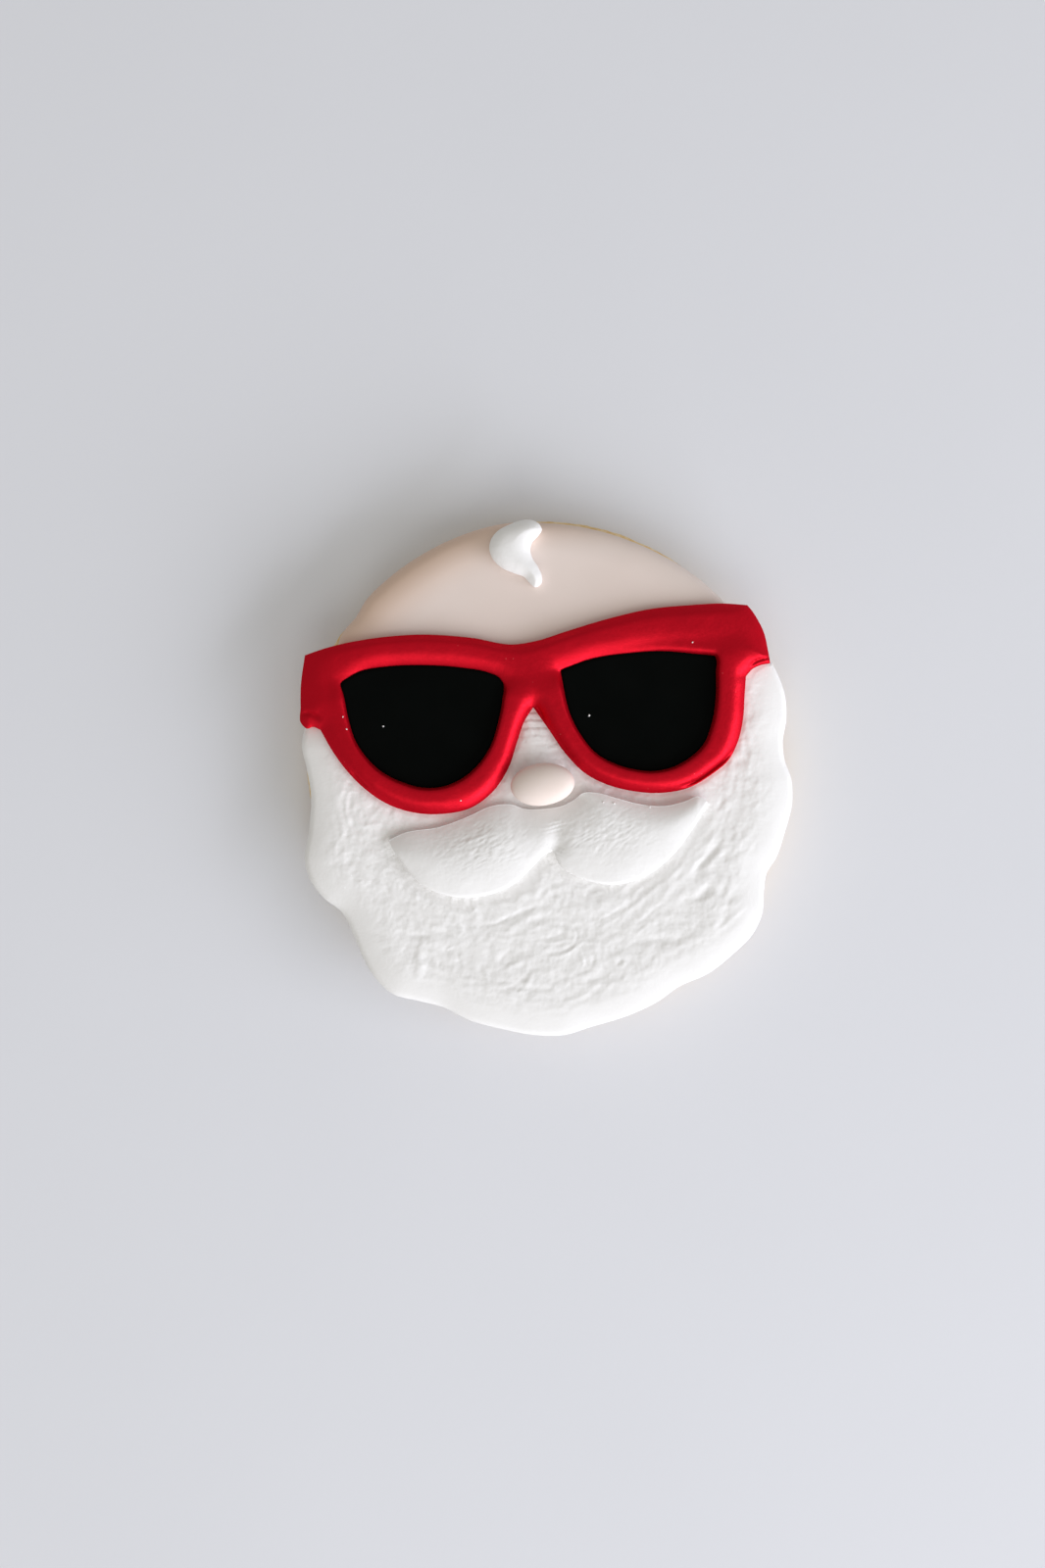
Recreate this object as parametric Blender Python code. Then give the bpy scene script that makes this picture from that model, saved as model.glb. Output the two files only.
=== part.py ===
"""A round iced Christmas biscuit with a bearded face in sunglasses.

The biscuit lies flat on its underside with the face up. The origin is the centre of the
underside, +Y points to the top of the face and +Z up. Sizes and places are written in
millimetres, and add_piece turns them into metres. Each piece of icing is a rounded slab: an
outline, an edge height, a top that rises from the edge, and an underside that keeps a small
gap to what carries it. An outline runs counter-clockwise and is a chain of smooth stretches
that meet in corners.
"""

import math

import bmesh
import bpy
import numpy as np
from mathutils import Matrix, Vector
from mathutils.geometry import delaunay_2d_cdt

MM = 0.001
GAP = 0.3

# The baked disc. Each wave of its rim is (waves round the rim, height, direction of a crest).
BISCUIT_RADIUS = 39.98
BISCUIT_HEIGHT = 7.0
BISCUIT_TOP_ROUND = 1.8
BISCUIT_FOOT_ROUND = 0.9
BISCUIT_SEGMENTS = 96
ROUND_STEPS = 3
BISCUIT_WAVES = (
    (1, 0.45, 95.0),
    (2, 0.32, -77.5),
    (3, 0.10, 27.7),
    (4, 0.13, -32.8),
    (5, 0.20, 20.6),
)

# The two sheets of icing on the biscuit, and the level that the raised pieces lie on.
SHEET_BASE = BISCUIT_HEIGHT + GAP
SHEET_THICKNESS = 2.4
SHEET_TOP = SHEET_BASE + SHEET_THICKNESS
RAISED_BASE = SHEET_TOP + GAP
SHEET_LIP = 0.7
HANG_LEVEL = 5.6

# Past this radius the raised pieces bend down over the rim, by this much for each mm squared.
SAG_RADIUS = 38.5
SAG_RATE = 0.06

# The seam between the two sheets, from left to right. The sunglasses cover it.
SEAM = (
    (-37.7, 12.4), (-35.6, 15.4), (-32.5, 17.6), (-28.0, 18.6), (-20.0, 19.0), (-12.0, 18.7),
    (-6.0, 17.8), (-1.5, 17.2), (3.5, 19.0), (9.0, 20.9), (16.0, 22.3), (24.0, 22.8),
    (30.0, 22.3), (33.0, 20.8), (35.2, 18.6),
)
SEAM_ROUND = 0.8

# The pink sheet's forehead edge, from the right temple over the top to the left temple.
FOREHEAD_EDGE = (
    (33.6, 21.5), (31.6, 24.5), (29.0, 27.6), (25.5, 30.3), (22.1, 32.6), (17.2, 35.3),
    (12.6, 37.3), (7.2, 38.7), (0.0, 39.6), (-5.4, 39.5), (-10.1, 38.6), (-15.8, 36.6),
    (-20.1, 34.3), (-24.4, 31.4), (-28.5, 27.6), (-30.7, 24.9), (-33.0, 21.3), (-35.6, 17.4),
)
FOREHEAD_ROUND = 2.6

# The beard's free edge, from the left temple round the chin to the right temple.
BEARD_EDGE = (
    (-38.7, 9.8), (-39.6, 6.5), (-40.1, 3.2), (-39.4, 0.0), (-38.6, -4.9), (-38.9, -10.2),
    (-39.6, -15.9), (-38.6, -19.0), (-36.4, -21.8), (-33.6, -24.0), (-31.7, -27.6),
    (-30.4, -30.8), (-27.9, -35.1), (-25.0, -37.6), (-21.3, -38.6), (-17.2, -39.6),
    (-12.4, -41.9), (-7.2, -43.3), (-1.8, -44.3), (3.1, -44.3), (7.4, -43.0), (13.6, -41.1),
    (18.8, -38.6), (21.7, -36.5), (26.9, -34.1), (31.1, -30.8), (34.2, -27.6), (35.7, -24.3),
    (36.0, -20.5), (36.5, -17.5), (37.9, -15.3), (39.4, -11.0), (40.7, -5.4), (40.5, -2.1),
    (39.4, 1.1), (39.1, 3.9), (39.7, 7.9), (39.4, 12.0), (38.4, 14.9), (37.2, 17.3),
)
BEARD_ROUND = 3.8

# Strands pressed into the beard: ridges round the face that start inside its rolled rim.
STRAND_PITCH = 5.0
STRAND_DEPTH = 0.30
STRAND_CENTRE = (0.0, 3.0)
STRAND_WAVES = ((3, 1.1, 20.0), (7, 0.6, 75.0), (11, 0.35, 140.0))
STRAND_START = 3.2
STRAND_FULL = 5.5

# Creases and dents of the beard: (three points on the line, half width, depth).
BEARD_CREASES = (
    (((-31.6, -9.4), (-28.7, -10.5), (-26.0, -11.4)), 1.3, 0.35),
    (((-27.0, -12.0), (-26.6, -15.0), (-26.2, -18.0)), 1.3, 0.35),
    (((-25.1, -27.7), (-21.9, -27.4), (-18.2, -27.5)), 1.5, 0.50),
    (((-18.0, -30.0), (-18.6, -33.5), (-20.4, -36.2)), 1.4, 0.35),
    (((-9.1, -26.3), (-4.2, -25.1), (0.6, -23.0)), 1.4, 0.60),
    (((-9.1, -29.5), (-5.0, -31.2), (-3.2, -34.6)), 1.5, 0.60),
    (((0.6, -24.4), (4.4, -26.4), (6.6, -30.0)), 1.4, 0.40),
    (((9.5, -33.6), (15.5, -31.2), (21.5, -28.4)), 1.5, 0.40),
    (((23.6, -28.2), (28.2, -23.0), (31.6, -17.6)), 1.5, 0.55),
    (((20.8, -20.2), (25.6, -15.6), (30.2, -10.6)), 1.5, 0.45),
)
MOST_RELIEF = 0.75

# The sunglasses' outer edge, from the right temple's upper corner over the top.
GLASSES_TOP = (
    (33.1, 26.4), (28.9, 26.6), (23.3, 26.3), (17.2, 25.7), (11.0, 24.3), (3.3, 22.0),
    (-1.4, 20.5), (-5.0, 19.9), (-12.3, 21.0), (-20.1, 21.5), (-28.1, 20.9), (-36.0, 19.3),
    (-39.5, 18.2),
)
GLASSES_LEFT_END = (
    (-39.5, 18.2), (-40.1, 13.1), (-40.1, 9.6), (-40.0, 7.0), (-38.9, 6.1), (-38.1, 6.4),
    (-36.8, 5.9),
)
GLASSES_LEFT_RIM = (
    (-36.8, 5.9), (-35.0, 2.7), (-32.8, -0.4), (-29.6, -3.7), (-25.9, -6.2), (-21.1, -7.7),
    (-16.3, -7.8), (-12.3, -6.9), (-8.6, -4.2), (-6.0, -0.2), (-4.6, 4.0), (-3.4, 7.4),
    (-2.0, 9.6),
)
GLASSES_RIGHT_RIM = (
    (-2.0, 9.6), (0.6, 5.9), (3.3, 2.0), (6.5, -1.2), (9.7, -2.9), (14.2, -4.1), (19.0, -4.4),
    (23.3, -3.6), (27.3, -1.3), (29.9, 0.9), (31.3, 3.5), (32.3, 7.5), (32.6, 11.8),
    (32.8, 14.7),
)
GLASSES_RIGHT_LIP = ((32.8, 14.7), (33.9, 15.9), (35.2, 16.5), (36.8, 16.8))
GLASSES_RIGHT_END = (
    (36.8, 16.8), (36.4, 19.2), (35.8, 21.9), (34.7, 24.2), (33.8, 25.6), (33.1, 26.4),
)
GLASSES_OUTLINE = (
    GLASSES_TOP, GLASSES_LEFT_END, GLASSES_LEFT_RIM, GLASSES_RIGHT_RIM, GLASSES_RIGHT_LIP,
    GLASSES_RIGHT_END,
)
GLASSES_HEIGHT = 3.0
GLASSES_LIP = 0.6
GLASSES_ROUND = 2.4

# The lens openings, from the sharp upper left corner down and round.
LEFT_OPENING = (
    (-33.4, 13.5), (-32.9, 11.5), (-32.1, 7.5), (-31.0, 4.1), (-29.2, 1.4), (-26.6, -1.0),
    (-23.4, -2.6), (-20.1, -3.5), (-16.7, -3.3), (-13.5, -1.9), (-11.0, 0.3), (-9.0, 3.3),
    (-7.8, 7.0), (-7.1, 10.7), (-7.0, 13.4), (-7.8, 14.4), (-9.4, 15.1), (-13.8, 15.9),
    (-20.1, 16.3), (-25.7, 16.1), (-30.2, 15.3), (-33.4, 13.5),
)
RIGHT_OPENING = (
    (2.6, 15.6), (3.0, 12.7), (4.2, 8.1), (5.8, 5.1), (8.2, 2.2), (11.6, 0.3), (15.0, -0.6),
    (17.2, -0.8), (20.6, -0.2), (23.4, 1.3), (25.7, 3.5), (27.1, 7.0), (27.8, 12.1),
    (27.8, 15.5), (27.7, 17.4), (27.0, 18.0), (24.4, 18.3), (19.0, 18.7), (13.4, 18.3),
    (7.8, 17.4), (2.6, 15.6),
)
LENS_THICKNESS = 1.2
LENS_LIP = 0.5
LENS_ROUND = 0.8

# The nose is an egg of sugar paste that is pressed a little flat where it sits.
NOSE_CENTRE = (-0.5, -3.0)
NOSE_HALF_SIZE = (5.35, 3.55, 2.2)
NOSE_TILT = 8.0
NOSE_SUNK = 0.3

# The moustache, from its left tip along the lower edge, with the notch between its lobes.
MOUSTACHE_LEFT_LOBE = (
    (-25.7, -12.2), (-24.4, -14.5), (-22.5, -17.2), (-20.3, -19.4), (-17.4, -20.8),
    (-13.9, -21.5), (-10.3, -21.2), (-7.1, -20.3), (-4.2, -18.5), (-1.8, -16.1), (0.1, -14.4),
    (1.2, -13.9),
)
MOUSTACHE_RIGHT_LOBE = (
    (1.2, -13.9), (2.3, -16.2), (4.6, -17.8), (7.8, -19.0), (11.0, -19.4), (14.2, -18.8),
    (17.9, -17.0), (21.1, -14.2), (23.5, -11.0), (25.3, -8.2), (26.4, -5.8),
)
MOUSTACHE_TOP = (
    (26.4, -5.8), (24.9, -5.0), (23.0, -5.7), (19.8, -6.5), (15.8, -6.3), (11.8, -5.3),
    (8.4, -4.4), (6.2, -4.4), (4.6, -5.6), (2.4, -6.6), (-0.4, -7.0), (-3.4, -7.0),
    (-5.6, -6.3), (-9.0, -6.6), (-12.3, -8.1), (-17.1, -9.9), (-23.5, -11.1), (-25.7, -12.2),
)
MOUSTACHE_OUTLINE = (MOUSTACHE_LEFT_LOBE, MOUSTACHE_RIGHT_LOBE, MOUSTACHE_TOP)
MOUSTACHE_HEIGHT = 3.1
MOUSTACHE_LIP = 0.7
MOUSTACHE_ROUND = 5.6
MOUSTACHE_CREASE = (((1.2, -13.9), (2.0, -11.4), (1.4, -8.6)), 1.3, 0.9)

# The curl of hair at the top of the forehead, from its upper right shoulder.
HAIR_OUTLINE = (
    (-1.0, 39.5), (-2.2, 40.2), (-3.8, 40.2), (-5.8, 39.5), (-7.8, 38.4), (-8.9, 37.0),
    (-9.2, 35.5), (-8.6, 33.8), (-7.0, 32.3), (-5.2, 31.5), (-3.4, 30.8), (-2.6, 29.9),
    (-1.7, 29.2), (-0.7, 29.8), (-0.6, 31.0), (-1.2, 32.5), (-2.1, 33.9), (-2.5, 35.4),
    (-2.2, 36.5), (-1.2, 37.6), (-0.6, 38.6),
)
HAIR_HEIGHT = 2.3
HAIR_LIP = 0.6
HAIR_ROUND = 2.8

# Where the surfaces get points. Rings follow the outline at the depths where a quarter round
# turns evenly, and a ring's point is dropped where another stretch of the outline is nearer.
CURVE_STEPS = 12
RING_ANGLES = (22.5, 45.0, 67.5, 90.0)
RING_SHARE = 0.97
FOOT_DEPTH = 0.4
FOOT_SHARE = 0.9
BEND_ANGLES = (0.0, 20.0, 40.0, 60.0, 79.0)
BEND_SPACING = 3.0
BEND_CLEAR = 0.6
LEAST_SPACING = 0.16
SAME_PLACE = 1e-6

COLOURS = {
    "baked_dough": ((0.78, 0.62, 0.42), 0.80),
    "pink_icing": ((0.80, 0.66, 0.58), 0.55),
    "white_icing": ((0.86, 0.85, 0.84), 0.60),
    "nose_icing": ((0.83, 0.70, 0.63), 0.50),
    "red_icing": ((0.62, 0.008, 0.022), 0.45),
    "black_icing": ((0.006, 0.007, 0.006), 0.40),
}


def smooth_path(knots, spacing, closed=False):
    """Evenly spaced points on a smooth curve through the knots, without its last point."""
    knots = np.array(knots, float)
    if closed:
        knots = np.vstack([knots, knots[:1]])
    steps = np.diff(knots, axis=0)
    chords = np.linalg.norm(steps, axis=1)[:, None]
    slopes = steps / chords
    inner = (slopes[:-1] * chords[1:] + slopes[1:] * chords[:-1]) / (chords[:-1] + chords[1:])
    first, last = slopes[0], slopes[-1]
    if closed:
        first = (last * chords[0] + first * chords[-1]) / (chords[0] + chords[-1])
        last = first
    tangents = np.vstack([first, inner, last])
    t = np.linspace(0.0, 1.0, CURVE_STEPS, endpoint=False)[:, None]
    spans = [
        (2 * t**3 - 3 * t**2 + 1) * knots[i]
        + (t**3 - 2 * t**2 + t) * chords[i] * tangents[i]
        + (3 * t**2 - 2 * t**3) * knots[i + 1]
        + (t**3 - t**2) * chords[i] * tangents[i + 1]
        for i in range(len(chords))
    ]
    dense = np.vstack(spans + [knots[-1:]])
    walked = np.concatenate([[0.0], np.cumsum(np.linalg.norm(np.diff(dense, axis=0), axis=1))])
    count = max(round(walked[-1] / spacing), 2)
    stations = np.linspace(0.0, walked[-1], count, endpoint=False)
    return np.column_stack([np.interp(stations, walked, dense[:, k]) for k in (0, 1)])


def corner_chain(stretches, spacing):
    """One closed outline from stretches that meet in corners."""
    return np.vstack([smooth_path(stretch, spacing) for stretch in stretches])


def beside(path, distance):
    """An open path moved to its left by a distance."""
    along = np.gradient(path, axis=0)
    along /= np.linalg.norm(along, axis=1)[:, None]
    return path + distance * np.column_stack([-along[:, 1], along[:, 0]])


def ring_inside(loop, depth):
    """A closed outline moved to its left, which is into the material, by a depth."""
    along = np.roll(loop, -1, axis=0) - np.roll(loop, 1, axis=0)
    along /= np.linalg.norm(along, axis=1)[:, None]
    return loop + depth * np.column_stack([-along[:, 1], along[:, 0]])


def distance_to(points, path, closed=False):
    """The distance from each point to the nearest place on a path."""
    starts = path if closed else path[:-1]
    ends = np.roll(path, -1, axis=0) if closed else path[1:]
    spans = ends - starts
    away = points[:, None, :] - starts[None, :, :]
    share = (away * spans).sum(axis=2) / (spans**2).sum(axis=1)
    nearest = away - np.clip(share, 0.0, 1.0)[..., None] * spans
    return np.linalg.norm(nearest, axis=2).min(axis=1)


def depth_in(points, loops):
    """The distance from each point to the nearest outline or opening."""
    return np.min([distance_to(points, loop, closed=True) for loop in loops], axis=0)


def is_inside(points, loops):
    """True for each point that lies in the outline and in none of its openings."""
    inside = np.zeros(len(points), bool)
    for loop in loops:
        ends = np.roll(loop, -1, axis=0)
        for (x1, y1), (x2, y2) in zip(loop, ends):
            between = (y1 > points[:, 1]) != (y2 > points[:, 1])
            rise = (y2 - y1) if y2 != y1 else 1.0
            crossing = x1 + (points[:, 1] - y1) * (x2 - x1) / rise
            inside ^= between & (points[:, 0] < crossing)
    return inside


def rounded(depth, width):
    """A quarter round: 0 at the edge, 1 from the width inwards."""
    share = np.clip(depth / width, 0.0, 1.0)
    return np.sqrt(1.0 - (1.0 - share) ** 2)


def biscuit_radius(angle):
    """The biscuit's radius at an angle in radians from +X."""
    waves = sum(h * np.cos(n * (angle - math.radians(at))) for n, h, at in BISCUIT_WAVES)
    return BISCUIT_RADIUS + waves


def over_biscuit(points):
    """The underside of a sheet that lies on the biscuit and hangs over its rounded edge."""
    angle = np.arctan2(points[:, 1], points[:, 0])
    past = np.hypot(points[:, 0], points[:, 1]) - biscuit_radius(angle) + BISCUIT_TOP_ROUND
    reach = BISCUIT_TOP_ROUND + GAP
    arc = np.sqrt(np.maximum(reach**2 - np.maximum(past, 0.0) ** 2, 0.0))
    return np.maximum(BISCUIT_HEIGHT - BISCUIT_TOP_ROUND + arc, HANG_LEVEL)


def rim_rings():
    """Points round the biscuit's edge, where the underside of a sheet bends."""
    past_each = (BISCUIT_TOP_ROUND + GAP) * np.sin(np.radians(BEND_ANGLES)) - BISCUIT_TOP_ROUND
    count = round(2 * math.pi * BISCUIT_RADIUS / BEND_SPACING)
    angles = np.arange(count) * 2 * math.pi / count
    rings = [
        (biscuit_radius(angles) + past)[:, None]
        * np.column_stack([np.cos(angles), np.sin(angles)])
        for past in past_each
    ]
    return np.vstack(rings)


def raised_sag(points):
    """How far a raised piece bends down over the rim of the biscuit."""
    past = np.maximum(np.hypot(points[:, 0], points[:, 1]) - SAG_RADIUS, 0.0)
    return SAG_RATE * past**2


def crease_depth(points, crease):
    """The depth that one crease presses into a surface at each point."""
    line, half_width, depth = crease
    path = smooth_path(line, half_width)
    path = np.vstack([path, line[-1]])
    return depth * np.exp(-((distance_to(points, path) / half_width) ** 2))


def beard_relief(points, edge_depth):
    """How far the strands and creases sink the beard's top."""
    offset = points - np.array(STRAND_CENTRE)
    angle = np.arctan2(offset[:, 1], offset[:, 0])
    sway = sum(h * np.cos(n * (angle - math.radians(at))) for n, h, at in STRAND_WAVES)
    ridge = np.cos(2 * math.pi * (np.hypot(offset[:, 0], offset[:, 1]) + sway) / STRAND_PITCH)
    relief = STRAND_DEPTH * (0.5 - 0.5 * ridge)
    for crease in BEARD_CREASES:
        relief = relief + crease_depth(points, crease)
    share = np.clip((edge_depth - STRAND_START) / (STRAND_FULL - STRAND_START), 0.0, 1.0)
    return np.minimum(relief, MOST_RELIEF) * share


def grid_inside(loops, spacing, clear):
    """A staggered grid of points that keep clear of the outline."""
    low = np.min([loop.min(axis=0) for loop in loops], axis=0)
    high = np.max([loop.max(axis=0) for loop in loops], axis=0)
    rows = np.arange(low[1], high[1], spacing * math.sin(math.radians(60.0)))
    columns = np.arange(low[0], high[0], spacing)
    points = np.array(
        [(x + 0.5 * spacing * (i % 2), y) for i, y in enumerate(rows) for x in columns]
    )
    points = points[is_inside(points, loops)]
    return points[depth_in(points, loops) > clear]


def thinned(points, spacing):
    """The points that keep at least a spacing from each one kept before them."""
    kept = []
    for point in points:
        if not kept or np.hypot(*(np.array(kept) - point).T).min() >= spacing:
            kept.append(point)
    return np.array(kept)


def triangles_between(loops, inner):
    """Triangles over the outline's points and the inner points, facing up."""
    points = np.vstack(loops + [inner])
    edges = []
    first = 0
    for loop in loops:
        edges += [(first + i, first + (i + 1) % len(loop)) for i in range(len(loop))]
        first += len(loop)
    made = delaunay_2d_cdt([Vector(point) for point in points], edges, [], 0, SAME_PLACE)
    source = [origin[0] for origin in made[3]]
    faces = np.array([[source[v] for v in face] for face in made[2]])
    faces = faces[is_inside(points[faces].mean(axis=1), loops)]
    a, b, c = points[faces[:, 0]], points[faces[:, 1]], points[faces[:, 2]]
    facing = (b[:, 0] - a[:, 0]) * (c[:, 1] - a[:, 1]) - (b[:, 1] - a[:, 1]) * (c[:, 0] - a[:, 0])
    faces[facing < 0] = faces[facing < 0][:, ::-1]
    return faces


def slab_mesh(name, loops, edge, top, underside, ring_width, spacing, bends=None):
    """The closed mesh of one piece of icing.

    Loops are the outline and its openings. Edge, top and underside give the height at each
    point, and bends are more points that the underside needs.
    """
    top_inner = []
    for turn in RING_ANGLES:
        depth = ring_width * (1.0 - math.cos(math.radians(turn)))
        for loop in loops:
            ring = ring_inside(loop, depth)
            top_inner.append(ring[depth_in(ring, loops) > RING_SHARE * depth])
    top_inner = np.vstack(top_inner)
    top_inner = thinned(top_inner[is_inside(top_inner, loops)], LEAST_SPACING * spacing)
    middle = grid_inside(loops, spacing, ring_width + 0.5 * spacing)
    if len(middle):
        top_inner = np.vstack([top_inner, middle])
    foot = np.vstack([ring_inside(loop, FOOT_DEPTH) for loop in loops])
    foot = foot[is_inside(foot, loops)]
    foot = foot[depth_in(foot, loops) > FOOT_SHARE * FOOT_DEPTH]
    if bends is not None:
        bends = bends[is_inside(bends, loops)]
        foot = np.vstack([foot, bends[depth_in(bends, loops) > BEND_CLEAR]])

    rim = np.vstack(loops)
    heights = np.concatenate([edge(rim), top(top_inner), underside(foot)])
    points = np.column_stack([np.vstack([rim, top_inner, foot]), heights])
    upper = triangles_between(loops, top_inner)
    lower = triangles_between(loops, foot)[:, ::-1]
    lower = np.where(lower >= len(rim), lower + len(top_inner), lower)
    mesh = bpy.data.meshes.new(name)
    mesh.from_pydata((points * MM).tolist(), [], np.vstack([upper, lower]).tolist())
    return mesh


def icing(slot):
    """The Principled material of a slot."""
    material = bpy.data.materials.get(slot) or bpy.data.materials.new(slot)
    colour, roughness = COLOURS[slot]
    material.diffuse_color = (*colour, 1.0)
    material.use_nodes = True
    shader = material.node_tree.nodes["Principled BSDF"]
    shader.inputs["Base Color"].default_value = (*colour, 1.0)
    shader.inputs["Roughness"].default_value = roughness
    shader.inputs["Metallic"].default_value = 0.0
    return material


def add_piece(name, mesh, slot):
    """An object for a mesh, in the material of a slot and shaded smooth."""
    mesh.materials.append(icing(slot))
    mesh.shade_smooth()
    piece = bpy.data.objects.new(name, mesh)
    bpy.context.scene.collection.objects.link(piece)
    return piece


def clear_scene():
    """Removes every object of the startup scene."""
    for item in list(bpy.data.objects):
        bpy.data.objects.remove(item, do_unlink=True)


def biscuit():
    """The baked disc: a flat underside, an upright side and a rounded upper edge."""
    quarter = np.linspace(0.0, math.pi / 2, ROUND_STEPS + 1)
    foot = [(BISCUIT_FOOT_ROUND * (1 - math.sin(a)), BISCUIT_FOOT_ROUND * (1 - math.cos(a)))
            for a in quarter]
    shoulder = [(BISCUIT_TOP_ROUND * (1 - math.cos(a)),
                 BISCUIT_HEIGHT - BISCUIT_TOP_ROUND * (1 - math.sin(a))) for a in quarter]
    angles = np.arange(BISCUIT_SEGMENTS) * 2 * math.pi / BISCUIT_SEGMENTS
    sides = np.column_stack([np.cos(angles), np.sin(angles)])
    shape = bmesh.new()
    rings = []
    for inset, height in foot + shoulder:
        ring = (biscuit_radius(angles) - inset)[:, None] * sides * MM
        rings.append([shape.verts.new((x, y, height * MM)) for x, y in ring])
    for below, above in zip(rings, rings[1:]):
        for i in range(BISCUIT_SEGMENTS):
            j = (i + 1) % BISCUIT_SEGMENTS
            shape.faces.new((below[i], below[j], above[j], above[i]))
    shape.faces.new(rings[0][::-1])
    shape.faces.new(rings[-1])
    mesh = bpy.data.meshes.new("biscuit")
    shape.to_mesh(mesh)
    shape.free()
    return add_piece("biscuit", mesh, "baked_dough")


def sheet_edge(points):
    """The height of the edge of a sheet that lies on the biscuit."""
    return over_biscuit(points) + SHEET_LIP


def sheet_top(free_edge, seam, free_round):
    """The height function of a sheet with one free edge and one edge on the seam."""
    def top(points):
        rise = np.minimum(
            rounded(distance_to(points, free_edge), free_round),
            rounded(distance_to(points, seam), SEAM_ROUND),
        )
        low = sheet_edge(points)
        return low + (SHEET_TOP - low) * rise
    return top


def face_icing():
    """The pink sheet that covers the forehead down to the seam."""
    spacing = 2.2
    seam = beside(smooth_path(SEAM, spacing), GAP)
    end = beside(np.array(SEAM[-2:]), GAP)[-1]
    free_edge = smooth_path((tuple(end),) + FOREHEAD_EDGE, spacing)
    outline = np.vstack([free_edge, seam])
    top = sheet_top(np.vstack([free_edge, seam[:1]]), np.vstack([seam, end]), FOREHEAD_ROUND)
    mesh = slab_mesh("face_icing", [outline], sheet_edge, top, over_biscuit, FOREHEAD_ROUND,
                     spacing, rim_rings())
    return add_piece("face_icing", mesh, "pink_icing")


def beard():
    """The white sheet below the seam, which hangs over the biscuit's edge."""
    spacing = 1.55
    seam = smooth_path(SEAM[::-1], spacing)
    free_edge = smooth_path(BEARD_EDGE, spacing)
    outline = np.vstack([free_edge, seam])
    free_line = np.vstack([seam[-1:], free_edge, seam[:1]])
    smooth_top = sheet_top(free_line, np.vstack([seam, SEAM[0]]), BEARD_ROUND)

    def top(points):
        return smooth_top(points) - beard_relief(points, distance_to(points, free_line))

    mesh = slab_mesh("beard", [outline], sheet_edge, top, over_biscuit, BEARD_ROUND, spacing,
                     rim_rings())
    return add_piece("beard", mesh, "white_icing")


def raised_slab(name, loops, height, lip, round_width, spacing, slot, creases=()):
    """A rounded piece that lies on the two sheets and sags past the biscuit's edge."""
    def underside(points):
        return RAISED_BASE - raised_sag(points)

    def edge(points):
        return underside(points) + lip

    def top(points):
        crown = (height - lip) * rounded(depth_in(points, loops), round_width)
        pressed = sum(crease_depth(points, crease) for crease in creases)
        return edge(points) + np.maximum(crown - pressed, 0.0)

    mesh = slab_mesh(name, loops, edge, top, underside, round_width, spacing)
    return add_piece(name, mesh, slot)


def glasses_frame():
    """The red frame with its two lens openings."""
    spacing = 1.6
    loops = [corner_chain(GLASSES_OUTLINE, spacing)]
    loops += [smooth_path(opening, spacing)[::-1] for opening in (LEFT_OPENING, RIGHT_OPENING)]
    return raised_slab("glasses_frame", loops, GLASSES_HEIGHT, GLASSES_LIP, GLASSES_ROUND,
                       spacing, "red_icing")


def lens(name, opening):
    """A flat black lens that fills an opening of the frame but for the gap."""
    spacing = 2.0
    loop = ring_inside(smooth_path(opening, spacing), GAP)
    return raised_slab(name, [loop], LENS_THICKNESS, LENS_LIP, LENS_ROUND, spacing, "black_icing")


def nose():
    """An egg that lies across the face with a flat spot under it."""
    wide, deep, tall = (half * MM for half in NOSE_HALF_SIZE)
    flat = -tall + NOSE_SUNK * MM
    shape = bmesh.new()
    size = Matrix.Diagonal((wide, deep, tall, 1.0))
    bmesh.ops.create_uvsphere(shape, u_segments=24, v_segments=12, radius=1.0, matrix=size)
    for vert in shape.verts:
        vert.co.z = max(vert.co.z, flat)
    turn = Matrix.Rotation(math.radians(NOSE_TILT), 4, "Z")
    place = Matrix.Translation((NOSE_CENTRE[0] * MM, NOSE_CENTRE[1] * MM, RAISED_BASE * MM - flat))
    shape.transform(place @ turn)
    mesh = bpy.data.meshes.new("nose")
    shape.to_mesh(mesh)
    shape.free()
    return add_piece("nose", mesh, "nose_icing")


def moustache():
    """Two plump lobes that meet in a crease under the nose."""
    spacing = 1.5
    loops = [corner_chain(MOUSTACHE_OUTLINE, spacing)]
    return raised_slab("moustache", loops, MOUSTACHE_HEIGHT, MOUSTACHE_LIP, MOUSTACHE_ROUND,
                       spacing, "white_icing", (MOUSTACHE_CREASE,))


def hair_curl():
    """A comma of hair whose tail points down the forehead."""
    spacing = 1.0
    loops = [smooth_path(HAIR_OUTLINE, spacing, closed=True)]
    return raised_slab("hair_curl", loops, HAIR_HEIGHT, HAIR_LIP, HAIR_ROUND, spacing,
                       "white_icing")


def main():
    """Builds the biscuit and then its icing, from the bottom up."""
    clear_scene()
    biscuit()
    face_icing()
    beard()
    glasses_frame()
    lens("lens_left", LEFT_OPENING)
    lens("lens_right", RIGHT_OPENING)
    moustache()
    nose()
    hair_curl()


main()
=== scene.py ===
"""The looks of a round iced Christmas biscuit: a bearded face in red sunglasses.

Every piece of icing is a rounded slab, meshed finely enough to hold its own wrinkles. Plans are
in millimetres from the centre of the biscuit, +X to the right and +Y to the top of the face.
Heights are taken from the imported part, and finished meshes are in metres.
"""

import logging
import math
from collections.abc import Callable, Sequence
from dataclasses import dataclass, field
from enum import Enum

import bmesh
import bpy
import numpy as np
from mathutils import Matrix, Vector, kdtree, noise
from mathutils.geometry import delaunay_2d_cdt


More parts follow.
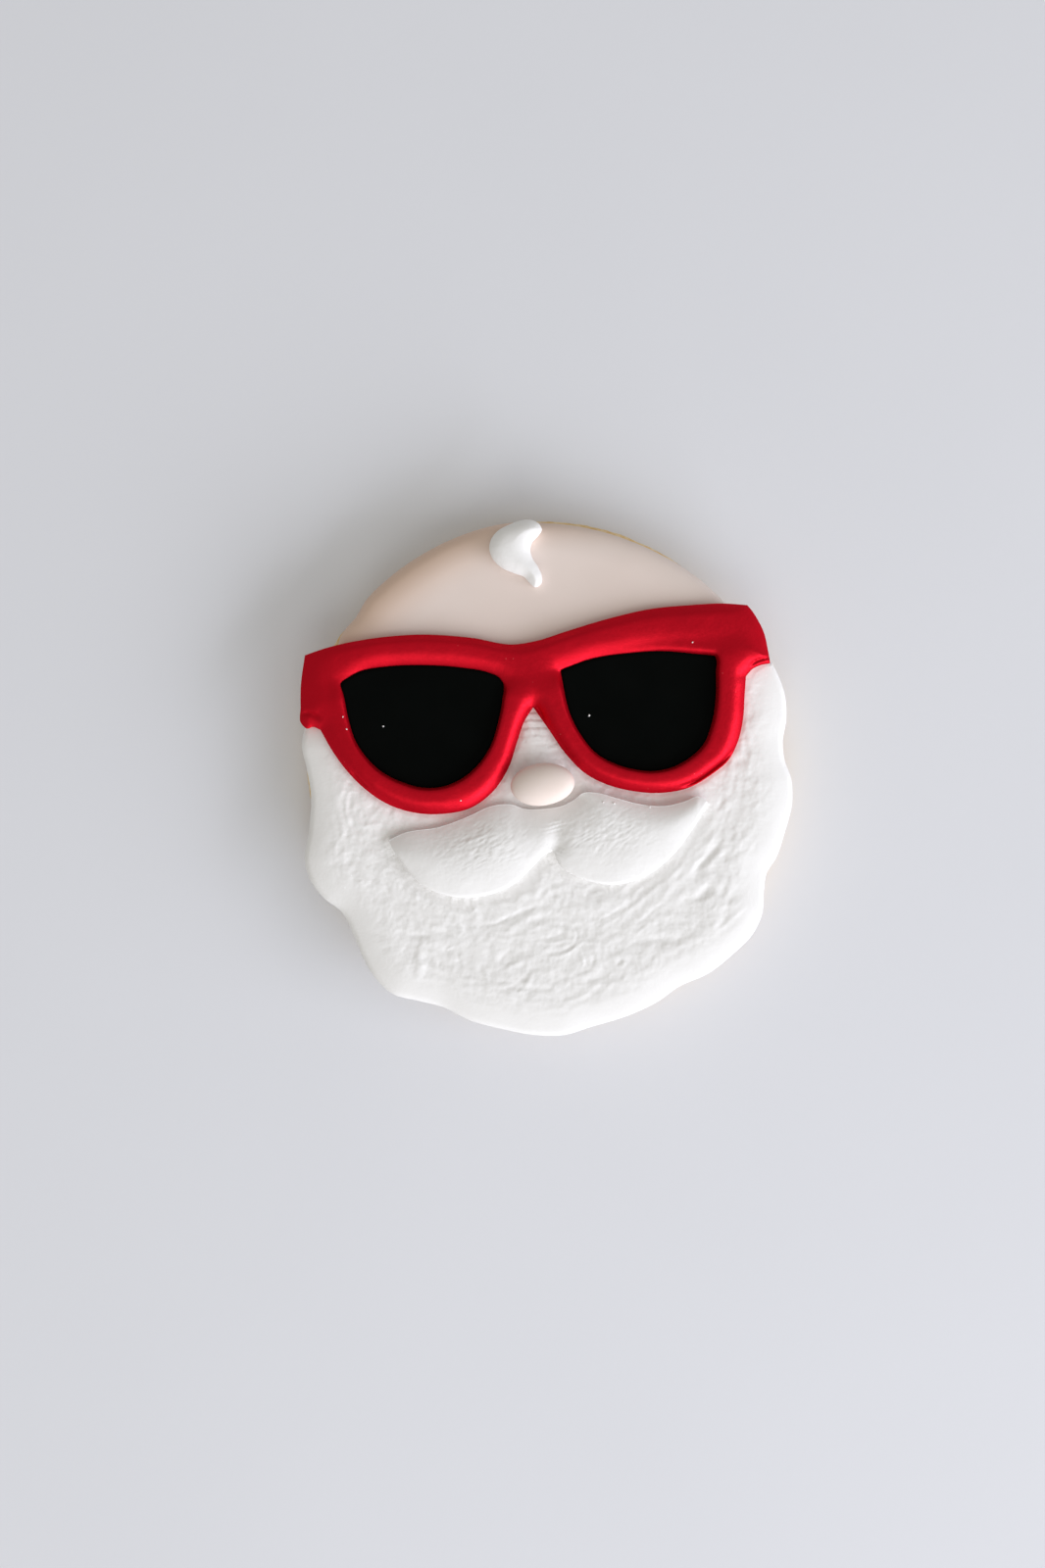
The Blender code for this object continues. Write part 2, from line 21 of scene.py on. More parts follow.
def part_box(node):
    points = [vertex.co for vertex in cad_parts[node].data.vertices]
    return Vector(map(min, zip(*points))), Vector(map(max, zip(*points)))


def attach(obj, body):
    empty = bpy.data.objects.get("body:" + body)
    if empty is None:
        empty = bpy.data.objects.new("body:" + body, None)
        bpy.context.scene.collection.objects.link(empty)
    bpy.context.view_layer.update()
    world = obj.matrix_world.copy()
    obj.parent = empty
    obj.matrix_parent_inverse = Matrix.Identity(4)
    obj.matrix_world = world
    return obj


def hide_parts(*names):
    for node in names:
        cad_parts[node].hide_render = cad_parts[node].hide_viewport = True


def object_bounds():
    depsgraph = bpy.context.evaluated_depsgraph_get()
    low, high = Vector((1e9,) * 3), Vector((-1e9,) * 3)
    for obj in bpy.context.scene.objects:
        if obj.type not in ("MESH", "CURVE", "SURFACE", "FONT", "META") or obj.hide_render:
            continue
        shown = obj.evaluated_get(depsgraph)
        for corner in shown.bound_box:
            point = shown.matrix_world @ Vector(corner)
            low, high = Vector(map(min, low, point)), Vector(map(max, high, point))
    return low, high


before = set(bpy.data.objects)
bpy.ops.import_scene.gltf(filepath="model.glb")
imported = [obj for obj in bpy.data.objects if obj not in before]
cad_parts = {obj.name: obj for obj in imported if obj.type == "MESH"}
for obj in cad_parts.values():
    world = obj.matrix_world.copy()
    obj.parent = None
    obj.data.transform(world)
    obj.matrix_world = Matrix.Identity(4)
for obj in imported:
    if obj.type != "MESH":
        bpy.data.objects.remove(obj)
CAD_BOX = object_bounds()

LOG = logging.getLogger("biscuit")

Points = np.ndarray
Knots = Sequence[tuple[float, float]]
Height = Callable[[np.ndarray], np.ndarray]
Colour = tuple[float, float, float]
Piece = bpy.types.Object
Socket = bpy.types.NodeSocket

MM = 0.001

# How many points each span of a curve gets before the curve is resampled.
CURVE_STEPS = 24

# The depths in mm of the rings of points inside each outline, on the upper and the lower side.
# They lie closest together at the edge, where a quarter round is steepest.
RING_DEPTHS = (0.05, 0.14, 0.27, 0.44, 0.66, 0.90)
FOOT_DEPTHS = (0.10, 0.24, 0.40)

# A point of a ring is kept where it lies at least this share of its depth from every edge, and
# at least this far in mm from the points before it.
RING_SHARE = 0.97
LEAST_SPACING = 0.07

# Two points of a triangulation that are nearer than this, in mm, are one.
SAME_PLACE = 1e-6

# How far inside the last ring the grid of points starts: on the upper side as a share of its
# spacing, and on the lower side in mm. The lower grid's own spacing.
GRID_MARGIN = 0.4
FOOT_MARGIN = 0.2
FOOT_SPACING = 2.0

# The steps along a stroke's line and its reach, for each mm of its half width, and where along
# the line its fade starts.
STROKE_STEP = 0.4
STROKE_REACH = 3.0
STROKE_START = -0.02

# The highest value that the noise commonly reaches, and how steeply sharp crests fall off.
NOISE_PEAK = 0.6
CREST_FALL = 2.4

# The span of the grain's height that the range of roughness runs over.
GRAIN_SPAN = (0.3, 0.7)

# How far the blotches are stretched about their middle value.
MOTTLE_STRETCH = 2.5


class Slot(Enum):
    """The material slots that the finishes fill."""

    DOUGH = "baked_dough"
    PINK = "pink_icing"
    WHITE = "white_icing"
    NOSE = "nose_icing"
    RED = "red_icing"
    BLACK = "black_icing"


class Effect(Enum):
    """The shader node groups that several finishes share."""

    GRAIN = "fine_grain"
    MOTTLE = "soft_mottle"
    SPECKS = "scattered_specks"


def top_of(node: str) -> float:
    """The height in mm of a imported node's highest point."""
    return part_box(node)[1].z / MM


def foot_of(node: str) -> float:
    """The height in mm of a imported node's lowest point."""
    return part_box(node)[0].z / MM


def smooth_path(knots: Knots, spacing: float, closed: bool = False) -> Points:
    """Evenly spaced points on a smooth curve.

    Args:
        knots: the points that the curve runs through
        spacing: the distance between two points of the result
        closed: whether the curve returns to its first knot

    Returns:
        The points, without the last one, so that stretches can be chained.
    """
    knots = np.array(knots, float)
    if closed:
        knots = np.vstack([knots, knots[:1]])
    steps = np.diff(knots, axis=0)
    chords = np.linalg.norm(steps, axis=1)[:, None]
    slopes = steps / chords
    inner = (slopes[:-1] * chords[1:] + slopes[1:] * chords[:-1]) / (chords[:-1] + chords[1:])
    first, last = slopes[0], slopes[-1]
    if closed:
        first = (last * chords[0] + first * chords[-1]) / (chords[0] + chords[-1])
        last = first
    tangents = np.vstack([first, inner, last])
    t = np.linspace(0.0, 1.0, CURVE_STEPS, endpoint=False)[:, None]
    spans = [
        (2 * t**3 - 3 * t**2 + 1) * knots[i]
        + (t**3 - 2 * t**2 + t) * chords[i] * tangents[i]
        + (3 * t**2 - 2 * t**3) * knots[i + 1]
        + (t**3 - t**2) * chords[i] * tangents[i + 1]
        for i in range(len(chords))
    ]
    dense = np.vstack(spans + [knots[-1:]])
    walked = np.concatenate([[0.0], np.cumsum(np.linalg.norm(np.diff(dense, axis=0), axis=1))])
    count = max(round(walked[-1] / spacing), 2)
    stations = np.linspace(0.0, walked[-1], count, endpoint=False)
    return np.column_stack([np.interp(stations, walked, dense[:, k]) for k in (0, 1)])


def corner_chain(stretches: Sequence[Knots], spacing: float) -> Points:
    """One closed outline from stretches that meet in corners."""
    return np.vstack([smooth_path(stretch, spacing) for stretch in stretches])


def moved_left(path: Points, distance: float | Points, closed: bool = True) -> Points:
    """A path moved to its left.

    Args:
        path: the points of the path
        distance: how far each point moves
        closed: whether the last point is followed by the first

    Returns:
        The moved points. To the left of an outline is the inside of the piece.
    """
    if closed:
        along = np.roll(path, -1, axis=0) - np.roll(path, 1, axis=0)
    else:
        along = np.gradient(path, axis=0)
    along = along / np.linalg.norm(along, axis=1)[:, None]
    return path + np.reshape(distance, (-1, 1)) * np.column_stack([-along[:, 1], along[:, 0]])


@dataclass
class Edge:
    """A line of points that answers how far other points lie from it.

    Attributes:
        path, closed: the points, and whether the last one is joined to the first
        tree: the points sorted for the search
    """

    path: Points
    closed: bool = False
    tree: kdtree.KDTree = field(init=False)

    def __post_init__(self) -> None:
        """Sorts the points of the line for the search."""
        self.tree = kdtree.KDTree(len(self.path))
        for i, (x, y) in enumerate(self.path):
            self.tree.insert((x, y, 0.0), i)
        self.tree.balance()

    def away(self, points: Points) -> Points:
        """The distance from each point to the line.

        Args:
            points: the points to measure from

        Returns:
            The distances in mm.
        """
        if len(points) == 0:
            return np.zeros(0)
        nearest = np.array([self.tree.find((x, y, 0.0))[1] for x, y in points])
        return np.minimum(self._from_span(points, nearest - 1), self._from_span(points, nearest))

    def _from_span(self, points: Points, first: Points) -> Points:
        """The distance from each point to one span of the line.

        Args:
            points: the points to measure from
            first: for each point, the index of the span's first end

        Returns:
            The distances in mm.
        """
        count = len(self.path)
        first = first % count if self.closed else np.clip(first, 0, count - 2)
        start = self.path[first]
        span = self.path[(first + 1) % count] - start
        share = ((points - start) * span).sum(axis=1) / (span**2).sum(axis=1)
        return np.linalg.norm(points - start - np.clip(share, 0.0, 1.0)[:, None] * span, axis=1)


def depth_in(points: Points, edges: Sequence[Edge]) -> Points:
    """The distance from each point to the nearest of several edges."""
    return np.min([edge.away(points) for edge in edges], axis=0)


def is_inside(points: Points, loops: Sequence[Points]) -> Points:
    """Whether each point lies in the outline and in none of its openings.

    Args:
        points: the points to test
        loops: the outline and its openings

    Returns:
        True for each point that lies between them.
    """
    inside = np.zeros(len(points), bool)
    for loop in loops:
        for (x1, y1), (x2, y2) in zip(loop, np.roll(loop, -1, axis=0)):
            between = (y1 > points[:, 1]) != (y2 > points[:, 1])
            crossing = x1 + (points[:, 1] - y1) * (x2 - x1) / ((y2 - y1) or 1.0)
            inside ^= between & (points[:, 0] < crossing)
    return inside


def rounded(depth: Points, width: float | Points) -> Points:
    """A quarter round: 0 at the edge, 1 from the width inwards."""
    share = np.clip(depth / width, 0.0, 1.0)
    return np.sqrt(1.0 - (1.0 - share) ** 2)


def domed(depth: Points, width: float | Points) -> Points:
    """A gentle dome: 0 at the edge, steepest there, and 1 from the width inwards."""
    return 1.0 - (1.0 - np.clip(depth / width, 0.0, 1.0)) ** 2


def soft_round(depth: Points, width: float | Points) -> Points:
    """Half a quarter round and half a dome: 0 at the edge, 1 from the width inwards."""
    return 0.5 * rounded(depth, width) + 0.5 * domed(depth, width)


def ramp(value: Points, low: float, high: float) -> Points:
    """A smooth step from 0 at low to 1 at high."""
    share = np.clip((value - low) / (high - low), 0.0, 1.0)
    return share * share * (3.0 - 2.0 * share)


def softly_least(first: Points, second: Points, blend: float) -> Points:
    """The lesser of two values, with the corner between them rounded off."""
    return -blend * np.logaddexp(-first / blend, -second / blend)


def staggered_grid(loops: Sequence[Points], spacing: float) -> Points:
    """Points inside the loops at the corners of even triangles.

    Args:
        loops: the outline and its openings
        spacing: the side of a triangle

    Returns:
        The points, row by row.
    """
    low, high = loops[0].min(axis=0), loops[0].max(axis=0)
    rows = np.arange(low[1], high[1], spacing * math.sin(math.radians(60.0)))
    columns = np.arange(low[0], high[0], spacing)
    x, y = np.meshgrid(columns, rows)
    x = x + 0.5 * spacing * (np.arange(len(rows)) % 2)[:, None]
    points = np.column_stack([x.ravel(), y.ravel()])
    return points[is_inside(points, loops)]


def thinned(points: Points, spacing: float) -> Points:
    """The points that keep at least a spacing from each one kept before them.

    Args:
        points: the points, of which earlier ones come first
        spacing: the least distance between two that are kept

    Returns:
        The kept points, in their order.
    """
    tree = kdtree.KDTree(len(points))
    for i, (x, y) in enumerate(points):
        tree.insert((x, y, 0.0), i)
    tree.balance()
    kept = np.ones(len(points), bool)
    for i, (x, y) in enumerate(points):
        if kept[i]:
            for _, j, _ in tree.find_range((x, y, 0.0), spacing):
                kept[j] &= j <= i
    return points[kept]


def triangles_between(loops: Sequence[Points], inner: Points) -> Points:
    """Triangles over the points of the loops and the inner points.

    Args:
        loops: the outline and its openings
        inner: the points between them

    Returns:
        Three indices a triangle, into the loops' points followed by the inner ones, facing up.
    """
    points = np.vstack([*loops, inner])
    rims = []
    first = 0
    for loop in loops:
        rims += [(first + i, first + (i + 1) % len(loop)) for i in range(len(loop))]
        first += len(loop)
    made = delaunay_2d_cdt([Vector(point) for point in points], rims, [], 0, SAME_PLACE)
    source = [origin[0] for origin in made[3]]
    faces = np.array([[source[v] for v in face] for face in made[2]])
    faces = faces[is_inside(points[faces].mean(axis=1), loops)]
    a, b, c = points[faces[:, 0]], points[faces[:, 1]], points[faces[:, 2]]
    facing = (b[:, 0] - a[:, 0]) * (c[:, 1] - a[:, 1]) - (b[:, 1] - a[:, 1]) * (c[:, 0] - a[:, 0])
    faces[facing < 0] = faces[facing < 0][:, ::-1]
    return faces


def mesh_of(name: str, points: Points, faces: Sequence) -> bpy.types.Mesh:
    """A smooth mesh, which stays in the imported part's box.

    Args:
        name: the mesh's name
        points: its points in mm
        faces: the indices of each face's points

    Returns:
        The mesh, in metres.
    """
    mesh = bpy.data.meshes.new(name)
    inside = np.clip(points * MM, CAD_BOX[0], CAD_BOX[1])
    mesh.from_pydata(inside.tolist(), [], [list(face) for face in faces])
    mesh.shade_smooth()
    return mesh


@dataclass
class Slab:
    """One rolled piece of icing: an outline between a top and an underside.

    Attributes:
        loops: the outline, counter-clockwise, and its openings, clockwise
        rim: the height of the outline itself
        top: the height of the upper side
        underside: the height of the lower side
        spacing: the distance between points on the upper side
        bends: more points that the lower side needs
    """

    loops: Sequence[Points]
    rim: Height
    top: Height
    underside: Height
    spacing: float
    bends: Points | None = None

    def mesh(self, name: str) -> bpy.types.Mesh:
        """The closed mesh of the slab.

        Args:
            name: the mesh's name

        Returns:
            The mesh, with the points of the outline, the upper side and the lower side.
        """
        edges = [Edge(loop, closed=True) for loop in self.loops]
        upper = self._rings(edges, RING_DEPTHS)
        grid = staggered_grid(self.loops, self.spacing)
        start = RING_DEPTHS[-1] + GRID_MARGIN * self.spacing
        upper = np.vstack([upper, grid[depth_in(grid, edges) > start]])
        lower = self._rings(edges, FOOT_DEPTHS)
        more = staggered_grid(self.loops, FOOT_SPACING) if self.bends is None else self.bends
        more = more[is_inside(more, self.loops)]
        lower = np.vstack([lower, more[depth_in(more, edges) > FOOT_DEPTHS[-1] + FOOT_MARGIN]])
        outline = np.vstack(self.loops)
        tuck = 1.0 - rounded(depth_in(lower, edges), FOOT_DEPTHS[-1])
        floor = self.underside(lower)
        heights = [self.rim(outline), self.top(upper), floor + (self.rim(lower) - floor) * tuck]
        points = np.column_stack([np.vstack([outline, upper, lower]), np.concatenate(heights)])
        over = triangles_between(self.loops, upper)
        under = triangles_between(self.loops, lower)[:, ::-1]
        under = np.where(under >= len(outline), under + len(upper), under)
        return mesh_of(name, points, np.vstack([over, under]).tolist())

    def _rings(self, edges: Sequence[Edge], depths: Sequence[float]) -> Points:
        """Points that follow the loops at the given depths inside them.

        Args:
            edges: the loops as edges
            depths: how deep each ring lies

        Returns:
            The points of all rings, none of them nearer to another stretch of a loop.
        """
        rings = []
        for depth in depths:
            for loop in self.loops:
                ring = moved_left(loop, depth)
                rings.append(ring[depth_in(ring, edges) > RING_SHARE * depth])
        points = np.vstack(rings)
        return thinned(points[is_inside(points, self.loops)], LEAST_SPACING)


@dataclass(frozen=True)
class Stroke:
    """A crease pressed into icing along a short line, or a ridge if its depth is negative.

    Attributes:
        line: points on the line
        half_width: the distance from the line at which a third of the depth is left
        depth: how far the middle of the line is pressed in
        taper: the share of the line over which each end fades out
    """

    line: Knots
    half_width: float
    depth: float
    taper: float = 0.35

    def press(self, points: Points) -> Points:
        """How far each point is pressed in.

        Args:
            points: the points of a surface

        Returns:
            The depths in mm.
        """
        path = np.vstack([smooth_path(self.line, STROKE_STEP * self.half_width), self.line[-1]])
        reach = STROKE_REACH * self.half_width
        near = np.all((points > path.min(axis=0) - reach) & (points < path.max(axis=0) + reach), axis=1)
        away = np.linalg.norm(points[near][:, None, :] - path[None, :, :], axis=2)
        nearest = away.argmin(axis=1)
        share = nearest / (len(path) - 1)
        fade = ramp(np.minimum(share, 1.0 - share), STROKE_START, self.taper)
        pressed = np.zeros(len(points))
        pressed[near] = self.depth * fade * np.exp(-((away.min(axis=1) / self.half_width) ** 2))
        return pressed


@dataclass(frozen=True)
class Wrinkles:
    """A layer of wrinkles that are longer along one direction than across it.

    Attributes:
        across: the distance between two wrinkles
        along: the length of one
        height: the height from valley to crest
        seed: which wrinkles
        sharp: whether the crests are sharp
    """

    across: float
    along: float
    height: float
    seed: float
    sharp: bool = False

    def rise(self, places: Points) -> Points:
        """The height of the wrinkles.

        Args:
            places: two numbers for each place, which run across and along the wrinkles

        Returns:
            The heights in mm, above and below 0.
        """
        scaled = places / (self.across, self.along)
        raw = np.array([noise.noise((u, v, self.seed)) for u, v in scaled.tolist()])
        if self.sharp:
            raw = NOISE_PEAK - CREST_FALL * np.abs(raw)
        return 0.5 * self.height * raw / NOISE_PEAK


def turned(points: Points, degrees: float) -> Points:
    """Points in axes that are turned anticlockwise by an angle.

    Args:
        points: the points
        degrees: the angle

    Returns:
        The points' numbers along the turned axes.
    """
    angle = math.radians(degrees)
    rotation = np.array([(math.cos(angle), -math.sin(angle)), (math.sin(angle), math.cos(angle))])
    return points @ rotation


@dataclass
class Wiring:
    """Adds nodes to a tree and joins them."""

    tree: bpy.types.NodeTree

    def add(self, kind: str, **settings: object) -> bpy.types.Node:
        """A new node with its settings.

        Args:
            kind: the node's type
            settings: its properties, by name

        Returns:
            The node.
        """
        node = self.tree.nodes.new(kind)
        for name, value in settings.items():
            setattr(node, name, value)
        return node

    def join(self, source: Socket, target: Socket) -> None:
        """Links an output to an input."""
        self.tree.links.new(source, target)

    def maths(self, operation: str, *values: object, clamp: bool = False) -> Socket:
        """The output of a Math node.

        Args:
            operation: the node's operation
            values: a number or an output for each input
            clamp: whether the result stays from 0 to 1

        Returns:
            The node's output.
        """
        node = self.add("ShaderNodeMath", operation=operation, use_clamp=clamp)
        for socket, value in zip(node.inputs, values):
            if isinstance(value, Socket):
                self.join(value, socket)
            else:
                socket.default_value = value
        return node.outputs[0]

    def mapped(self, value: Socket, source: Sequence[float],
               target: Sequence[float] = (0.0, 1.0)) -> Socket:
        """A value taken smoothly from one range to another.

        Args:
            value: the output to map
            source: the range that it has
            target: the range that it gets

        Returns:
            The output of the Map Range node.
        """
        node = self.add("ShaderNodeMapRange", interpolation_type="SMOOTHSTEP")
        self.join(value, node.inputs["Value"])
        for name, number in zip(("From Min", "From Max", "To Min", "To Max"), (*source, *target)):
            node.inputs[name].default_value = number
        return node.outputs["Result"]

    def mixed(self, share: Socket, first: object, second: object) -> Socket:
        """A mix of two colours.

        Args:
            share: how much of the second colour shows
            first: a colour or an output
            second: a colour or an output

        Returns:
            The mixed colour.
        """
        node = self.add("ShaderNodeMix", data_type="RGBA")
        self.join(share, node.inputs["Factor"])
        for name, value in (("A", first), ("B", second)):
            socket = next(s for s in node.inputs if s.name == name and s.type == "RGBA")
            if isinstance(value, Socket):
                self.join(value, socket)
            else:
                socket.default_value = (*value, 1.0)
        return next(s for s in node.outputs if s.type == "RGBA")

    def place(self) -> Socket:
        """The place on the surface.

        Returns:
            The place in mm, as a vector.
        """
        where = self.add("ShaderNodeTexCoord")
        scaled = self.add("ShaderNodeVectorMath", operation="SCALE")
        self.join(where.outputs["Object"], scaled.inputs[0])
        scaled.inputs["Scale"].default_value = 1.0 / MM
        return scaled.outputs["Vector"]

    def surface(self, shader: bpy.types.Node, colour: Socket,
                relief: Socket, depth: float) -> None:
        """Feeds a colour and a relief to a shader.

        Args:
            shader: the material's shader
            colour: its colour
            relief: the height of the relief from 0 to 1
            depth: the depth of the relief in mm
        """
        self.join(colour, shader.inputs["Base Color"])
        bump = self.add("ShaderNodeBump")
        bump.inputs["Distance"].default_value = depth * MM
        self.join(relief, bump.inputs["Height"])
        self.join(bump.outputs["Normal"], shader.inputs["Normal"])

    def effect(self, effect: Effect, place: Socket, **values: float) -> bpy.types.Node:
        """One of the shared node groups.

        Args:
            effect: which group
            place: the place in mm
            values: the group's own inputs, by name

        Returns:
            The group's node.
        """
        node = self.add("ShaderNodeGroup", node_tree=effect_group(effect))
        self.join(place, node.inputs["Place"])
        for name, value in values.items():
            node.inputs[name.capitalize()].default_value = value
        return node


def effect_group(effect: Effect) -> bpy.types.NodeTree:
    """The node group of a shared effect, which is built on its first use.

    Args:
        effect: which effect

    Returns:
        The group, with its place and its own numbers as inputs.
    """
    found = bpy.data.node_groups.get(effect.value)
    if found:
        return found
    tree = bpy.data.node_groups.new(effect.value, "ShaderNodeTree")
    tree.interface.new_socket("Place", in_out="INPUT", socket_type="NodeSocketVector")
    builders = {Effect.GRAIN: grain_group, Effect.MOTTLE: mottle_group, Effect.SPECKS: specks_group}
    builders[effect](tree)
    return tree


def group_ends(tree: bpy.types.NodeTree, inputs: dict[str, float],
               outputs: Sequence[str]) -> tuple[Wiring, bpy.types.Node, bpy.types.Node]:
    """The sockets and the two end nodes of a group.

    Args:
        tree: the group
        inputs: the default of each number that the group takes
        outputs: the names of the numbers that it gives

    Returns:
        The group's wiring, its input node and its output node.
    """
    for name, value in inputs.items():
        socket = tree.interface.new_socket(name, in_out="INPUT", socket_type="NodeSocketFloat")
        socket.default_value = value
    for name in outputs:
        tree.interface.new_socket(name, in_out="OUTPUT", socket_type="NodeSocketFloat")
    wiring = Wiring(tree)
    return wiring, wiring.add("NodeGroupInput"), wiring.add("NodeGroupOutput")


def grain_group(tree: bpy.types.NodeTree) -> None:
    """Fills the group for the fine grain of sugar: a height from 0 to 1.

    Args:
        tree: the group
    """
    wiring, given, result = group_ends(tree, {"Size": 0.3}, ("Height",))
    texture = wiring.add("ShaderNodeTexNoise")
    wiring.join(given.outputs["Place"], texture.inputs["Vector"])
    wiring.join(wiring.maths("DIVIDE", 1.0, given.outputs["Size"]), texture.inputs["Scale"])
    texture.inputs["Detail"].default_value = 3.0
    texture.inputs["Roughness"].default_value = 0.65
    wiring.join(texture.outputs["Fac"], result.inputs["Height"])


def mottle_group(tree: bpy.types.NodeTree) -> None:
    """Fills the group for soft blotches: a mask from 0 to 1.

    Args:
        tree: the group
    """
    wiring, given, result = group_ends(tree, {"Size": 8.0, "Contrast": 1.0}, ("Mask",))
    texture = wiring.add("ShaderNodeTexNoise")
    wiring.join(given.outputs["Place"], texture.inputs["Vector"])
    wiring.join(wiring.maths("DIVIDE", 1.0, given.outputs["Size"]), texture.inputs["Scale"])
    texture.inputs["Detail"].default_value = 4.0
    centred = wiring.maths("SUBTRACT", texture.outputs["Fac"], 0.5)
    stretched = wiring.maths("MULTIPLY", centred, given.outputs["Contrast"])
    mask = wiring.maths("MULTIPLY_ADD", stretched, MOTTLE_STRETCH, 0.5, clamp=True)
    wiring.join(mask, result.inputs["Mask"])


def specks_group(tree: bpy.types.NodeTree) -> None:
    """Fills the group for scattered specks: a mask that is 1 on a speck.

    Args:
        tree: the group
    """
    inputs = {"Spacing": 2.0, "Radius": 0.12, "Share": 0.3}
    wiring, given, result = group_ends(tree, inputs, ("Mask",))
    cells = wiring.add("ShaderNodeTexVoronoi")
    wiring.join(given.outputs["Place"], cells.inputs["Vector"])
    wiring.join(wiring.maths("DIVIDE", 1.0, given.outputs["Spacing"]), cells.inputs["Scale"])
    away = wiring.maths("MULTIPLY", cells.outputs["Distance"], given.outputs["Spacing"])
    split = wiring.add("ShaderNodeSeparateColor")
    wiring.join(cells.outputs["Color"], split.inputs["Color"])
    radius = wiring.maths("MULTIPLY", given.outputs["Radius"], split.outputs["Green"])
    close = wiring.maths("SUBTRACT", 1.0, wiring.maths("DIVIDE", away, radius), clamp=True)
    chosen = wiring.maths("LESS_THAN", split.outputs["Red"], given.outputs["Share"])
    sharper = wiring.maths("MULTIPLY", close, 2.0, clamp=True)
    wiring.join(wiring.maths("MULTIPLY", sharper, chosen), result.inputs["Mask"])


@dataclass(frozen=True)
class IcingFinish:
    """The look of one colour of sugar paste. Colours are linear.

    Attributes:
        slot: its material slot
        main: the colour of most of the surface
        shade: the colour of the blotches
        speck: the colour of dry sugar specks
        blotch_size: the size of the blotches in mm
        blotch_contrast: how clear the blotches are
        speck_share: the share of places that hold a speck
        speck_radius: the radius of the largest specks in mm
        speck_spacing: the distance between two places in mm
        grain_size: the size of the grain in mm
        grain_depth: the depth of the grain in mm
        roughness: its lowest and highest value
        gloss: the Specular IOR Level
        sheen_tint: the colour of its reflections where it is seen from straight ahead
        bending: the index of refraction
        shade_and_thin_tint: the browner colour towards the upper left edge, if anywhere: painted shade
            of the edge that faces away from the light, and partly the dough showing through where the
            paste is thinner
        shade_and_thin_from: the point from which the tint is measured, and the distances from it at
            which the tint starts and is full, in mm
    """

    slot: Slot
    main: Colour
    shade: Colour
    speck: Colour
    blotch_size: float = 9.0
    blotch_contrast: float = 1.0
    speck_share: float = 0.0
    speck_radius: float = 0.16
    speck_spacing: float = 1.1
    grain_size: float = 0.35
    grain_depth: float = 0.02
    roughness: tuple[float, float] = (0.5, 0.7)
    gloss: float = 0.5
    sheen_tint: Colour = (1.0, 1.0, 1.0)
    bending: float = 1.5
    shade_and_thin_tint: Colour | None = None
    shade_and_thin_from: tuple[float, float, float, float] = (0.0, 0.0, 30.0, 40.0)

    def material(self) -> bpy.types.Material:
        """The material of this finish, which is built on its first use.

        Returns:
            The material, the same one for every piece of this slot.
        """
        name = f"dressed_{self.slot.value}"
        found = bpy.data.materials.get(name)
        if found:
            return found
        material = bpy.data.materials.new(name)
        material.use_nodes = True
        wiring = Wiring(material.node_tree)
        shader = material.node_tree.nodes["Principled BSDF"]
        place = wiring.place()
        blotch = wiring.effect(Effect.MOTTLE, place, size=self.blotch_size,
                               contrast=self.blotch_contrast)
        grain = wiring.effect(Effect.GRAIN, place, size=self.grain_size)
        colour = wiring.mixed(blotch.outputs["Mask"], self.main, self.shade)
        # Painted shade: the paste turns browner towards its upper left edge, which faces away from the
        # light; partly it is the dough showing through where the paste is thinner.
        if self.shade_and_thin_tint:
            middle_x, middle_y, near, far = self.shade_and_thin_from
            away = wiring.add("ShaderNodeVectorMath", operation="DISTANCE")
            wiring.join(place, away.inputs[0])
            away.inputs[1].default_value = (middle_x, middle_y, 0.0)
            thin = wiring.mapped(away.outputs["Value"], (near, far))
            colour = wiring.mixed(thin, colour, self.shade_and_thin_tint)
        if self.speck_share:
            specks = wiring.effect(Effect.SPECKS, place, spacing=self.speck_spacing,
                                   radius=self.speck_radius, share=self.speck_share)
            colour = wiring.mixed(specks.outputs["Mask"], colour, self.speck)
        wiring.surface(shader, colour, grain.outputs["Height"], self.grain_depth)
        rough = wiring.mapped(grain.outputs["Height"], GRAIN_SPAN, self.roughness)
        wiring.join(rough, shader.inputs["Roughness"])
        shader.inputs["Specular IOR Level"].default_value = self.gloss
        shader.inputs["Specular Tint"].default_value = (*self.sheen_tint, 1.0)
        shader.inputs["IOR"].default_value = self.bending
        return material


